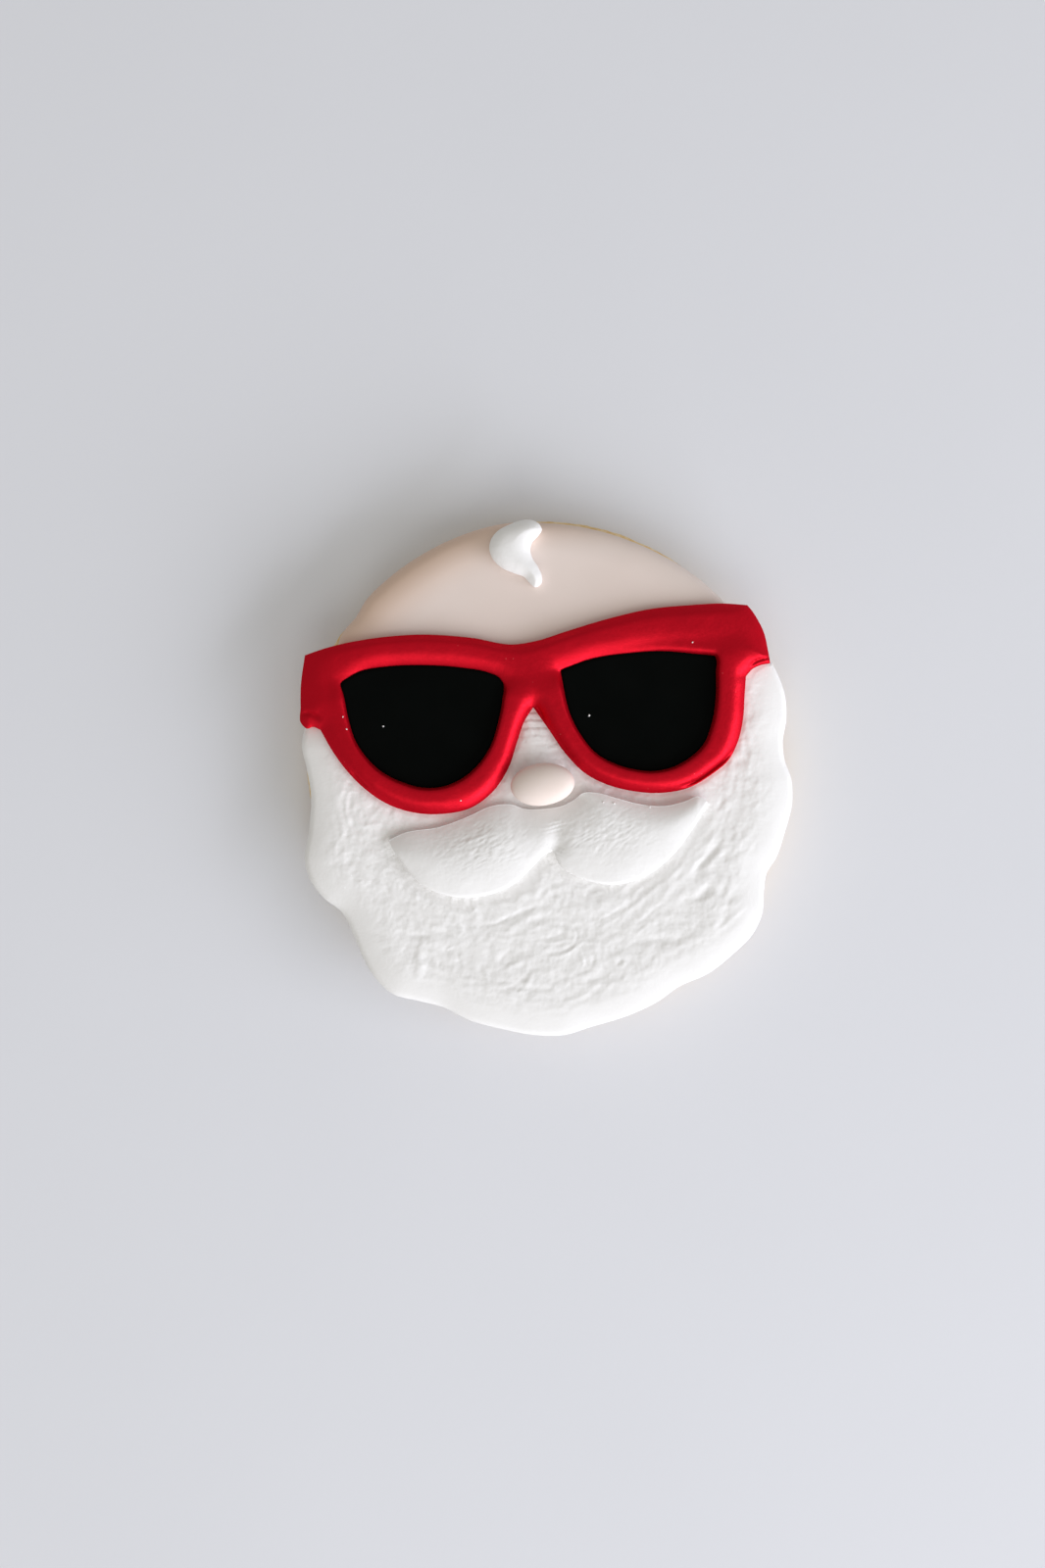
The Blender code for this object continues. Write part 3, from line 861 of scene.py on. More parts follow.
@dataclass(frozen=True)
class DoughFinish:
    """The look of the baked dough. Colours are linear.

    Attributes:
        crumb: the colour of the middle of the side
        crust: the colour of the browned rims
        pale: the colour of floury patches
        thickness: the height of the biscuit in mm
        foot_band: where the foot is fully brown, in mm, and the share of the thickness at which
            its browning ends
        crown_from, crown_share: the share of the thickness at which the browning of the upper
            edge starts, and how brown it gets
        patches, browned: the size in mm and the contrast of the uneven browning, and the least
            and the greatest share of it that shows
        flour: the size in mm and the contrast of the floury patches
        pore_spacing, pore_radius: the distance between pores and the largest radius, in mm
        pore_share, pore_painted_shade: the share of places that hold a pore, and how far the pits are
            painted darker, as painted shade
        grain_size, crumb_depth: the size and the depth of the crumb in mm
        roughness: its lowest and highest value
        gloss: the Specular IOR Level
    """

    crumb: Colour = (0.79, 0.545, 0.235)
    crust: Colour = (0.61, 0.34, 0.095)
    pale: Colour = (0.88, 0.72, 0.46)
    thickness: float = 7.0
    foot_band: tuple[float, float] = (0.2, 0.42)
    crown_from: float = 0.75
    crown_share: float = 0.45
    patches: tuple[float, float] = (5.0, 1.3)
    browned: tuple[float, float] = (0.55, 1.0)
    flour: tuple[float, float] = (1.1, 1.6)
    pore_spacing: float = 0.9
    pore_radius: float = 0.3
    pore_share: float = 0.55
    pore_painted_shade: float = 0.35
    grain_size: float = 0.6
    crumb_depth: float = 0.12
    roughness: tuple[float, float] = (0.75, 0.95)
    gloss: float = 0.25

    def material(self) -> bpy.types.Material:
        """The material of the dough.

        Returns:
            A new material.
        """
        material = bpy.data.materials.new(f"dressed_{Slot.DOUGH.value}")
        material.use_nodes = True
        wiring = Wiring(material.node_tree)
        shader = material.node_tree.nodes["Principled BSDF"]
        place = wiring.place()
        split = wiring.add("ShaderNodeSeparateXYZ")
        wiring.join(place, split.inputs["Vector"])
        full, end_share = self.foot_band
        foot = wiring.mapped(split.outputs["Z"], (full, end_share * self.thickness), (1.0, 0.0))
        crown = wiring.mapped(split.outputs["Z"], (self.crown_from * self.thickness, self.thickness),
                              (0.0, self.crown_share))
        size, contrast = self.patches
        blotch = wiring.effect(Effect.MOTTLE, place, size=size, contrast=contrast)
        patchy = wiring.mapped(blotch.outputs["Mask"], (0.0, 1.0), self.browned)
        browning = wiring.maths("MULTIPLY", wiring.maths("ADD", foot, crown), patchy)
        size, contrast = self.flour
        flour = wiring.effect(Effect.MOTTLE, place, size=size, contrast=contrast)
        colour = wiring.mixed(flour.outputs["Mask"], self.crumb, self.pale)
        colour = wiring.mixed(browning, colour, self.crust)
        pores = wiring.effect(Effect.SPECKS, place, spacing=self.pore_spacing,
                              radius=self.pore_radius, share=self.pore_share)
        # Painted shade: the pores, which are pits in the relief, are painted darker towards the crust
        # colour.
        darker = wiring.maths("MULTIPLY", pores.outputs["Mask"], self.pore_painted_shade)
        colour = wiring.mixed(darker, colour, self.crust)
        grain = wiring.effect(Effect.GRAIN, place, size=self.grain_size)
        relief = wiring.maths("SUBTRACT", grain.outputs["Height"], pores.outputs["Mask"])
        wiring.surface(shader, colour, relief, self.crumb_depth)
        rough = wiring.mapped(grain.outputs["Height"], GRAIN_SPAN, self.roughness)
        wiring.join(rough, shader.inputs["Roughness"])
        shader.inputs["Specular IOR Level"].default_value = self.gloss
        return material


@dataclass(frozen=True)
class TableFinish:
    """The look of the pale, faintly glowing table top. Colours are linear.

    Attributes:
        main: the colour of most of the surface
        shade: the colour of the blotches
        blotch_size: the size of the blotches in mm
        blotch_contrast: how clear the blotches are
        grain_size: the size of the grain in mm
        grain_depth: the depth of the grain in mm
        roughness: its lowest and highest value
        gloss: the Specular IOR Level
        glow: the strength of its own light
        glow_tint: the colour of that light
    """

    main: Colour = (0.707, 0.718, 0.755)
    shade: Colour = (0.692, 0.703, 0.739)
    blotch_size: float = 60.0
    blotch_contrast: float = 0.8
    grain_size: float = 2.5
    grain_depth: float = 0.01
    roughness: tuple[float, float] = (0.55, 0.65)
    gloss: float = 0.3
    glow: float = 0.05
    glow_tint: Colour = (0.98, 1.0, 1.05)

    def material(self) -> bpy.types.Material:
        """The material of the table.

        Returns:
            A new material.
        """
        material = bpy.data.materials.new("table_top")
        material.use_nodes = True
        wiring = Wiring(material.node_tree)
        shader = material.node_tree.nodes["Principled BSDF"]
        place = wiring.place()
        blotch = wiring.effect(Effect.MOTTLE, place, size=self.blotch_size,
                               contrast=self.blotch_contrast)
        colour = wiring.mixed(blotch.outputs["Mask"], self.main, self.shade)
        grain = wiring.effect(Effect.GRAIN, place, size=self.grain_size)
        wiring.surface(shader, colour, grain.outputs["Height"], self.grain_depth)
        rough = wiring.mapped(grain.outputs["Height"], GRAIN_SPAN, self.roughness)
        wiring.join(rough, shader.inputs["Roughness"])
        shader.inputs["Specular IOR Level"].default_value = self.gloss
        shader.inputs["Emission Color"].default_value = (*self.glow_tint, 1.0)
        shader.inputs["Emission Strength"].default_value = self.glow
        return material


# The creases and ridges of the beard, group by group: the points, the half width and the depth of
# each, which is negative for a ridge, and the taper where it isn't the usual one.
CHEEK_FOLDS = (
    (((-31.2, -10.3), (-29.8, -9.9), (-27.9, -9.5), (-26.3, -9.2)), 0.48, -0.1),
    (((-30.9, -8.9), (-32.0, -9.9), (-32.8, -11.0)), 0.4, 0.06),
    (((-28.8, -12.0), (-27.4, -11.5)), 0.22, -0.05),
    (((-29.8, -13.2), (-29.2, -12.3)), 0.22, -0.05),
    (((-33.8, -11.6), (-32.9, -10.8)), 0.3, -0.06),
    (((-33.2, -12.3), (-32.0, -10.7)), 0.3, 0.05),
    (((-25.1, -10.8), (-26.2, -12.1), (-25.9, -14.0), (-25.4, -16.9)), 0.22, -0.12),
    (((-33.0, -17.4), (-31.7, -16.3), (-30.8, -15.2)), 0.5, -0.06),
    (((-28.8, -6.2), (-27.4, -7.0)), 0.6, 0.1),
    (((-25.8, -7.3), (-24.8, -7.4)), 0.4, 0.06),
    (((-32.7, -2.5), (-31.6, -3.1)), 0.35, 0.06),
    (((-30.3, -27.5), (-27.7, -27.6), (-25.8, -27.8)), 0.25, 0.04),
    (((-30.6, -28.2), (-28.5, -28.1), (-26.6, -27.8)), 0.22, -0.04),
    (((-27.4, -29.9), (-26.4, -29.9), (-25.2, -29.5)), 0.22, 0.05),
)
LEFT_HOLLOWS = (
    (((-23.8, -27.8), (-21.9, -27.8), (-19.8, -27.7), (-18.5, -27.4)), 0.55, 0.14),
    (((-16.6, -29.8), (-16.5, -30.6)), 0.3, 0.05),
    (((-14.5, -29.6), (-14.4, -30.4), (-13.9, -33.8)), 0.35, 0.07),
    (((-17.1, -31.5), (-17.7, -33.2)), 0.3, 0.04),
    (((-20.0, -29.1), (-20.6, -31.1), (-20.6, -33.2),
      (-21.1, -34.6), (-22.6, -35.4)), 0.75, -0.16),
    (((-20.8, -29.0), (-18.5, -29.0)), 0.6, -0.08),
    (((-9.9, -33.0), (-9.4, -35.7)), 0.4, -0.06),
    (((-21.2, -20.0), (-21.2, -22.4)), 0.3, -0.08),
    (((-22.3, -24.2), (-22.3, -25.8)), 0.3, -0.06),
)
CRESCENT = (
    (((-8.1, -32.5), (-7.1, -31.2), (-5.0, -29.6)), 0.4, 0.1),
    (((-7.9, -32.8), (-6.2, -32.0), (-4.6, -31.5)), 0.8, 0.1),
    (((-7.5, -33.8), (-5.2, -32.6), (-3.1, -31.5)), 0.45, -0.1),
    (((-6.8, -36.5), (-4.6, -35.7), (-3.1, -34.4), (-2.3, -32.3)), 0.45, 0.09),
    (((-5.2, -37.5), (-3.8, -36.7), (-2.6, -35.1), (-1.7, -33.2)), 0.4, -0.06),
)
CHIN_FOLD = (
    (((-12.6, -26.4), (-9.9, -26.1), (-7.9, -25.8), (-6.5, -25.1),
      (-4.6, -24.2), (-2.0, -23.2), (0.6, -22.5)), 0.4, 0.14),
    (((-7.9, -28.7), (-7.1, -28.2), (-5.7, -26.6), (-4.2, -25.4),
      (-1.8, -24.5), (0.6, -23.3), (1.9, -23.0)), 0.55, -0.11),
    (((-9.7, -23.2), (-7.5, -22.5), (-4.9, -22.4), (-3.8, -21.1), (-2.5, -20.1)), 0.3, -0.07),
    (((-9.1, -21.9), (-6.6, -21.7), (-4.9, -21.3)), 0.35, 0.05),
)
WHORL = (
    (((-1.7, -27.7), (-0.1, -28.2), (1.9, -27.8), (3.0, -27.0),
      (2.8, -26.2), (1.5, -25.9), (-0.1, -26.1)), 0.25, 0.05),
    (((-1.8, -28.6), (0.3, -29.0), (2.5, -28.7), (3.8, -27.8), (3.8, -26.6)), 0.25, -0.05),
    (((-1.8, -30.7), (0.6, -30.7), (2.7, -30.4), (4.4, -29.5),
      (5.2, -27.8), (4.9, -26.6), (3.5, -26.1), (1.2, -26.1)), 0.28, 0.07),
    (((-1.7, -31.2), (0.9, -31.3), (3.0, -30.9), (4.9, -29.8),
      (5.9, -29.0), (8.1, -29.0), (10.9, -28.7)), 0.3, -0.07),
)
RIGHT_FURROWS = (
    (((5.7, -32.0), (6.5, -31.7)), 0.7, -0.12),
    (((7.5, -32.8), (7.8, -31.9), (7.9, -30.6)), 0.35, 0.1),
    (((8.0, -33.5), (6.7, -33.6), (5.1, -34.3), (3.0, -34.8), (0.6, -36.0)), 0.4, 0.07),
    (((11.5, -32.8), (12.2, -32.0), (12.8, -31.5)), 0.35, 0.08),
    (((12.3, -33.2), (13.4, -31.9)), 0.4, -0.04),
    (((8.3, -25.4), (9.9, -24.8), (11.7, -23.7), (13.4, -22.2)), 0.3, 0.09),
    (((8.8, -26.4), (10.5, -25.6), (12.0, -24.6), (14.4, -22.9), (15.9, -21.9)), 0.4, -0.09),
    (((13.9, -26.6), (15.4, -25.6), (16.7, -24.6), (17.8, -23.5), (20.5, -22.2)), 0.3, 0.07),
    (((14.4, -28.0), (15.9, -26.7), (17.6, -25.4)), 0.35, -0.07),
    (((6.2, -21.7), (8.1, -21.1)), 0.35, 0.05),
    (((8.0, -30.6), (12.0, -29.8), (15.9, -28.8), (18.4, -28.5),
      (21.6, -28.3), (24.0, -27.2), (25.7, -25.8), (26.8, -24.3)), 0.8, 0.13),
    (((29.7, -11.3), (28.7, -12.4), (27.6, -13.9), (26.6, -14.9),
      (25.5, -16.0), (24.2, -17.3), (23.1, -17.9)), 0.45, 0.15),
    (((30.6, -12.3), (29.3, -13.7), (27.9, -15.1), (26.6, -16.3), (25.2, -17.6)), 0.5, -0.1),
    (((31.4, -9.7), (31.0, -12.1), (30.0, -13.1)), 0.45, -0.08),
    (((31.6, -13.5), (30.8, -15.0)), 0.35, 0.07),
    (((27.9, -19.2), (26.6, -20.0), (25.3, -21.4), (23.8, -22.4)), 0.7, 0.2),
    (((29.0, -20.8), (27.3, -21.8), (26.1, -23.0), (24.8, -23.8)), 0.7, -0.1),
    (((29.7, -21.1), (30.2, -22.5)), 0.35, 0.05),
    (((31.4, -17.1), (30.8, -17.9)), 0.4, 0.06),
    (((30.3, 0.3), (31.4, 0.8), (32.7, 1.7)), 0.8, 0.14),
    (((29.2, -5.0), (28.7, -6.2), (28.2, -7.4)), 0.4, 0.09),
    (((30.6, -6.3), (29.8, -7.8), (29.2, -9.7)), 0.4, 0.06),
    (((30.2, -4.9), (29.7, -6.5), (29.2, -8.1)), 0.45, -0.07),
    (((33.8, 13.1), (36.1, 14.3)), 0.2, -0.04),
)
DABS = (
    (((-33.5, -3.4), (-33.5, -5.2)), 0.45, -0.07),
    (((-35.9, -4.7), (-35.7, -4.9)), 0.35, -0.07),
    (((-31.4, -3.9), (-31.5, -4.4)), 0.35, -0.07),
    (((-30.1, -5.0), (-30.0, -5.4)), 0.3, -0.06),
    (((-36.2, -0.7), (-36.1, -2.5)), 0.4, -0.04),
    (((-28.8, -16.4), (-28.7, -16.6)), 0.35, -0.05),
    (((-30.8, -14.7), (-30.8, -15.0)), 0.3, -0.05),
    (((-23.0, -17.3), (-23.0, -17.6)), 0.3, -0.1),
    (((-23.5, -18.7), (-23.4, -18.8)), 0.3, -0.06),
    (((-30.3, -18.7), (-30.3, -19.2)), 0.4, -0.06),
    (((-25.6, -24.3), (-25.1, -24.3)), 0.35, -0.06),
    (((-27.1, -29.5), (-26.3, -29.3)), 0.3, -0.06),
    (((-15.8, -29.6), (-15.6, -30.1)), 0.4, -0.08),
    (((-23.2, -35.4), (-22.9, -36.4)), 0.35, -0.06),
    (((-13.2, -21.6), (-13.2, -21.9)), 0.25, -0.07),
    (((-11.6, -23.2), (-11.6, -24.0)), 0.3, -0.08),
    (((-9.9, -23.0), (-9.9, -23.3)), 0.25, -0.05),
    (((0.3, -16.1), (2.2, -16.8)), 0.3, -0.06),
    (((-0.1, -17.4), (1.5, -17.9)), 0.25, -0.05),
    (((-1.0, -18.7), (-0.1, -18.4)), 0.25, -0.05),
    (((9.6, -32.7), (9.8, -31.5)), 0.45, -0.05),
    (((12.5, -35.1), (13.1, -34.4)), 0.35, -0.05),
    (((4.4, -20.5), (5.7, -19.8)), 0.3, -0.07),
    (((24.4, -12.3), (24.8, -12.1)), 0.25, -0.07),
    (((25.0, -14.2), (25.5, -13.5)), 0.25, -0.06),
    (((22.3, -15.5), (22.6, -15.0)), 0.25, -0.06),
    (((22.0, -19.8), (22.3, -19.5)), 0.3, -0.07),
    (((23.2, -19.3), (23.5, -18.5)), 0.25, -0.06),
    (((36.1, 1.6), (35.8, 0.3)), 0.3, -0.07),
    (((34.2, 13.3), (35.3, 13.5)), 0.22, -0.05),
    (((27.4, -2.9), (28.5, -3.9)), 0.3, -0.05),
    (((-1.7, 10.5), (-1.4, 4.0), (-1.0, -2.0)), 3.0, -0.8, 0.5),
)

# The pink's browner tint towards its upper left edge is painted shade, and partly the dough showing
# through where the paste is thinner.
PINK = IcingFinish(Slot.PINK, (0.812, 0.707, 0.652), (0.79, 0.675, 0.615), (0.9, 0.86, 0.82),
                   blotch_size=14.0, blotch_contrast=0.7, grain_size=0.5, grain_depth=0.004,
                   roughness=(0.48, 0.6), gloss=0.3, shade_and_thin_tint=(0.74, 0.54, 0.42),
                   shade_and_thin_from=(8.0, -6.0, 42.0, 51.0))
WHITE = IcingFinish(Slot.WHITE, (0.89, 0.882, 0.87), (0.87, 0.86, 0.845), (0.95, 0.95, 0.95),
                    blotch_size=7.0, grain_size=0.45, grain_depth=0.03, speck_share=0.12,
                    speck_radius=0.25, roughness=(0.6, 0.75), gloss=0.2)
NOSE = IcingFinish(Slot.NOSE, (0.84, 0.735, 0.685), (0.82, 0.70, 0.63), (0.9, 0.86, 0.82),
                   blotch_size=4.0, blotch_contrast=0.8, grain_size=0.4, grain_depth=0.003,
                   roughness=(0.42, 0.55), gloss=0.35)
RED = IcingFinish(Slot.RED, (0.32, 0.0002, 0.006), (0.26, 0.0002, 0.005), (0.8, 0.2, 0.2),
                  blotch_size=5.0, blotch_contrast=1.1, grain_size=0.4, grain_depth=0.03,
                  speck_share=0.22, speck_radius=0.11, roughness=(0.39, 0.52), gloss=1.0,
                  sheen_tint=(1.0, 0.02, 0.042), bending=2.7)
BLACK = IcingFinish(Slot.BLACK, (0.0016, 0.0021, 0.0018), (0.0022, 0.0027, 0.0024),
                    (0.02, 0.02, 0.02), blotch_size=6.0, grain_size=0.4, grain_depth=0.004,
                    roughness=(0.42, 0.55), gloss=0.02)


def add_piece(name: str, mesh: bpy.types.Mesh, material: bpy.types.Material, slot: Slot,
              *nodes: str) -> Piece:
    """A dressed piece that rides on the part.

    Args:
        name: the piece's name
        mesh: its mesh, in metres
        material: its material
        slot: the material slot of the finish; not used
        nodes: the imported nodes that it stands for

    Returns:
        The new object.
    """
    mesh.materials.append(material)
    piece = bpy.data.objects.new(name, mesh)
    bpy.context.scene.collection.objects.link(piece)
    if nodes:
        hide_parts(*nodes)
    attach(piece, "root")
    LOG.info("%s: %d faces for %s", name, len(mesh.polygons), ", ".join(nodes) or "no node")
    return piece


@dataclass
class Biscuit:
    """The baked disc. Sizes in mm.

    Attributes:
        radius: its mean radius
        waves: how its outline departs from a circle: waves round it, height, direction of a crest
        dent: where its outline is dented: the angle from +X, the half width and the depth
        top_round, foot_round: the radius of its upper and of its lower edge
        spacing: the spacing of its mesh
        crumble: the layers of its rough side
        crumble_share, crumble_limits: the share of their height that the side takes, and the
            lowest and the highest that they may reach
        second_view: how far apart the noise's two upright planes lie
        side_inset: how far its side lies inside the outline on average
        pits, pit_start: the wrinkles of the underside, and the height above which they are pits
        base_grid, lid_grid: the spacing of the points of the underside and of the covered upper
            side, and their distance from the edge
        sheet_sunk: how far a sheet sinks into its top
        bend_spacing, bend_turns: the distance between two points round the bend of a sheet, and
            the angles in degrees at which the bend has its rings of points
    """

    radius: float = 39.98
    waves: Sequence[tuple[int, float, float]] = (
        (1, 0.45, 95.0), (2, 0.32, -77.5), (3, 0.10, 27.7), (4, 0.13, -32.8), (5, 0.20, 20.6),
    )
    dent: tuple[float, float, float] = (142.0, 3.5, 0.6)
    top_round: float = 1.8
    foot_round: float = 0.9
    spacing: float = 0.42
    crumble: Sequence[Wrinkles] = (
        Wrinkles(2.6, 3.4, 0.10, 4.0), Wrinkles(0.9, 1.4, 0.10, 9.0, sharp=True),
        Wrinkles(0.45, 0.45, 0.05, 14.0),
    )
    crumble_share: float = 0.7
    crumble_limits: tuple[float, float] = (-0.25, 0.16)
    second_view: float = 40.0
    side_inset: float = 0.12
    pits: Wrinkles = Wrinkles(1.7, 1.7, 0.5, 21.0)
    pit_start: float = 0.06
    base_grid: tuple[float, float] = (0.8, 0.5)
    lid_grid: tuple[float, float] = (5.0, 2.0)
    sheet_sunk: float = 0.06
    bend_spacing: float = 1.6
    bend_turns: Sequence[float] = (0, 15, 30, 45, 60, 75, 89)

    def radius_at(self, angle: Points) -> Points:
        """The radius of the outline.

        Args:
            angle: the directions, in radians from +X

        Returns:
            The radius in each direction, in mm.
        """
        waves = sum(h * np.cos(n * (angle - math.radians(at))) for n, h, at in self.waves)
        at, half_width, depth = self.dent
        away = (np.degrees(angle) - at) / half_width
        return self.radius + waves - depth * np.exp(-(away**2))

    def past_shoulder(self, points: Points) -> Points:
        """How far each point lies outside the start of the rounded upper edge."""
        angle = np.arctan2(points[:, 1], points[:, 0])
        return np.hypot(points[:, 0], points[:, 1]) - self.radius_at(angle) + self.top_round

    def sheet_underside(self, points: Points) -> Points:
        """The height of the underside of a sheet that lies on the biscuit and hangs past its edge.

        Args:
            points: the points of the sheet

        Returns:
            The heights in mm.
        """
        past = np.maximum(self.past_shoulder(points), 0.0)
        arc = np.sqrt(np.maximum(self.top_round**2 - past**2, 0.0))
        level = top_of("biscuit") - self.top_round + arc - self.sheet_sunk
        return np.maximum(level, foot_of("beard"))

    def bend_rings(self) -> Points:
        """Points round the upper edge, where the underside of a sheet bends.

        Returns:
            The points, ring by ring.
        """
        past_each = self.top_round * np.sin(np.radians(self.bend_turns)) - self.top_round
        count = round(math.tau * self.radius / self.bend_spacing)
        angles = np.arange(count) * math.tau / count
        ring = np.column_stack([np.cos(angles), np.sin(angles)])
        return np.vstack([(self.radius_at(angles) + past)[:, None] * ring for past in past_each])

    def profile(self) -> Points:
        """The side of the biscuit, from its foot to its crown.

        Returns:
            How far in from the outline and how high each ring of points lies.
        """
        height = top_of("biscuit")
        quarter = np.linspace(0.0, math.pi / 2, 7)
        foot = np.column_stack([1 - np.sin(quarter), 1 - np.cos(quarter)]) * self.foot_round
        crown = np.column_stack([1 - np.cos(quarter), np.sin(quarter) - 1]) * self.top_round
        crown[:, 1] += height
        gaps = round((crown[0, 1] - foot[-1, 1]) / self.spacing)
        upright = np.linspace(foot[-1], crown[0], gaps, endpoint=False)[1:]
        return np.vstack([foot, upright, crown])

    def mesh(self) -> bpy.types.Mesh:
        """The closed mesh, with a rough side and a slightly pitted underside.

        Returns:
            The mesh, with the points of the side, the underside and the upper side.
        """
        count = round(math.tau * self.radius / self.spacing)
        angles = np.arange(count) * math.tau / count
        around = np.column_stack([np.cos(angles), np.sin(angles)])
        rings = []
        for inset, height in self.profile():
            # The noise comes from two upright planes, so that it has no seam round the side.
            heights = np.full(count, height)
            one = np.column_stack([heights, self.radius * np.sin(angles)])
            other = np.column_stack([heights + self.second_view, self.radius * np.cos(angles)])
            rough = sum(layer.rise(one) + layer.rise(other) for layer in self.crumble)
            rough = np.clip(rough, *self.crumble_limits)
            reach = self.radius_at(angles) - inset - self.side_inset + self.crumble_share * rough
            rings.append(np.column_stack([reach[:, None] * around, heights]))
        side = [
            (r * count + i, r * count + (i + 1) % count,
             (r + 1) * count + (i + 1) % count, (r + 1) * count + i)
            for r in range(len(rings) - 1) for i in range(count)
        ]
        foot, crown = rings[0][:, :2], rings[-1][:, :2]
        base, lid = [
            grid[np.hypot(*grid.T) < np.hypot(*ring.T).min() - margin]
            for ring, margin, grid in (
                (foot, self.base_grid[1], staggered_grid([foot], self.base_grid[0])),
                (crown, self.lid_grid[1], staggered_grid([crown], self.lid_grid[0])),
            )
        ]
        pits = np.maximum(self.pits.rise(base) - self.pit_start, 0.0)
        points = np.vstack([*rings, np.column_stack([base, pits]),
                            np.column_stack([lid, np.full(len(lid), top_of("biscuit"))])])
        under = triangles_between([foot], base)[:, ::-1]
        under = np.where(under >= count, under + count * (len(rings) - 1), under)
        over = triangles_between([crown], lid)
        start = count * (len(rings) - 1)
        over = np.where(over >= count, over + start + len(base), over + start)
        return mesh_of("baked_biscuit", points, side + under.tolist() + over.tolist())

    def build(self) -> Piece:
        """The dressed biscuit."""
        dough = DoughFinish(thickness=top_of("biscuit"))
        return add_piece("baked_biscuit", self.mesh(), dough.material(), Slot.DOUGH, "biscuit")


@dataclass
class Sheets:
    """The two rolled sheets that cover the biscuit, with their seam under the sunglasses.

    Attributes:
        biscuit: what the sheets lie on
        seam: the line between them, from left to right
        dough_shown: how much of the biscuit shows outside the pink sheet, by angle from +X
        beard_edge: the white sheet's free edge, from the left temple round the chin
        edge_step: the angle between two points of the pink sheet's edge, in degrees
        lip: the thickness of the pink sheet's free edge
        beard_rim: the height of the white sheet's outline
        gap: the width of the seam
        seam_round, free_round: the radius of the edges at the seam, and of the free edges where
            other pieces lie on them
    """

    biscuit: Biscuit
    seam: Knots = (
        (-37.7, 12.4), (-35.6, 15.4), (-32.5, 17.6), (-28.0, 18.6), (-20.0, 19.0),
        (-12.0, 18.7), (-6.0, 17.8), (-1.5, 17.2), (3.5, 19.0), (9.0, 20.9), (16.0, 22.3),
        (24.0, 22.8), (30.0, 22.3), (33.0, 20.8), (35.2, 18.6),
    )
    dough_shown: Sequence[tuple[float, float]] = (
        (32.5, 0.25), (40.0, 0.05), (50.0, 0.08), (56.0, 0.32), (62.0, 0.55), (70.0, 0.74),
        (80.0, 0.76), (90.0, 0.60), (98.0, 0.02), (102.0, -0.06), (137.0, -0.06), (144.0, 0.08),
        (148.0, 0.50), (151.0, 1.3), (155.0, 1.8),
    )
    beard_edge: Knots = (
        (-38.7, 9.8), (-39.6, 6.5), (-40.1, 3.2), (-39.4, 0.0), (-38.6, -4.9), (-38.9, -10.2),
        (-39.6, -15.9), (-38.6, -19.0), (-36.4, -21.8), (-33.6, -24.0), (-31.7, -27.6),
        (-30.4, -30.8), (-27.9, -35.1), (-25.0, -37.6), (-21.3, -38.6), (-17.2, -39.6),
        (-12.4, -41.9), (-7.2, -43.3), (-1.8, -44.3), (3.1, -44.3), (7.4, -43.0),
        (13.6, -41.1), (18.8, -38.6), (21.7, -36.5), (26.9, -34.1), (31.1, -30.8),
        (34.2, -27.6), (35.7, -24.3), (36.0, -20.5), (36.5, -17.5), (37.9, -15.3),
        (39.4, -11.0), (40.7, -5.4), (40.5, -2.1), (39.4, 1.1), (39.1, 3.9), (39.7, 7.9),
        (39.4, 12.0), (38.4, 14.9), (37.2, 17.3),
    )
    edge_step: float = 1.5
    lip: float = 0.7
    beard_rim: float = 7.9
    gap: float = 0.12
    seam_round: float = 0.8
    free_round: float = 3.0

    def forehead_edge(self) -> Points:
        """The pink sheet's free edge, from the right temple over the top to the left one.

        Returns:
            The points of the edge.
        """
        degrees, shown = np.array(self.dough_shown).T
        at = np.arange(degrees[0], degrees[-1], self.edge_step)
        angles = np.radians(at)
        reach = self.biscuit.radius_at(angles) - np.interp(at, degrees, shown)
        return reach[:, None] * np.column_stack([np.cos(angles), np.sin(angles)])

    def rim(self, points: Points) -> Points:
        """The height of the pink sheet's outline."""
        return self.biscuit.sheet_underside(points) + self.lip

    def white_rim(self, points: Points) -> Points:
        """The height of the white sheet's outline."""
        return np.full(len(points), self.beard_rim)

    def top(self, rim: Height, slope: Height, free: Edge, seam: Edge) -> Height:
        """The upper side of a sheet.

        Args:
            rim: the height of its outline
            slope: how it rises inwards from its free edge, from 0 to 1
            free: the sheet's free edge
            seam: the sheet's edge on the seam

        Returns:
            The height function.
        """
        def height(points: Points) -> Points:
            """The height of the sheet's upper side.

            Args:
                points: the points of the sheet

            Returns:
                The heights in mm.
            """
            rise = np.minimum(slope(free.away(points)), rounded(seam.away(points), self.seam_round))
            low = rim(points)
            return low + (top_of("beard") - low) * rise
        return height

    def carries(self, points: Points) -> Points:
        """The height of whichever sheet lies under each point, and of its hanging edge.

        Args:
            points: the points to look under

        Returns:
            The heights in mm.
        """
        whole = np.vstack([smooth_path(self.beard_edge, 1.0), self.forehead_edge()])
        depth = np.where(is_inside(points, [whole]), Edge(whole, closed=True).away(points), 0.0)
        low = self.rim(points)
        return low + (top_of("beard") - low) * rounded(depth, self.free_round)


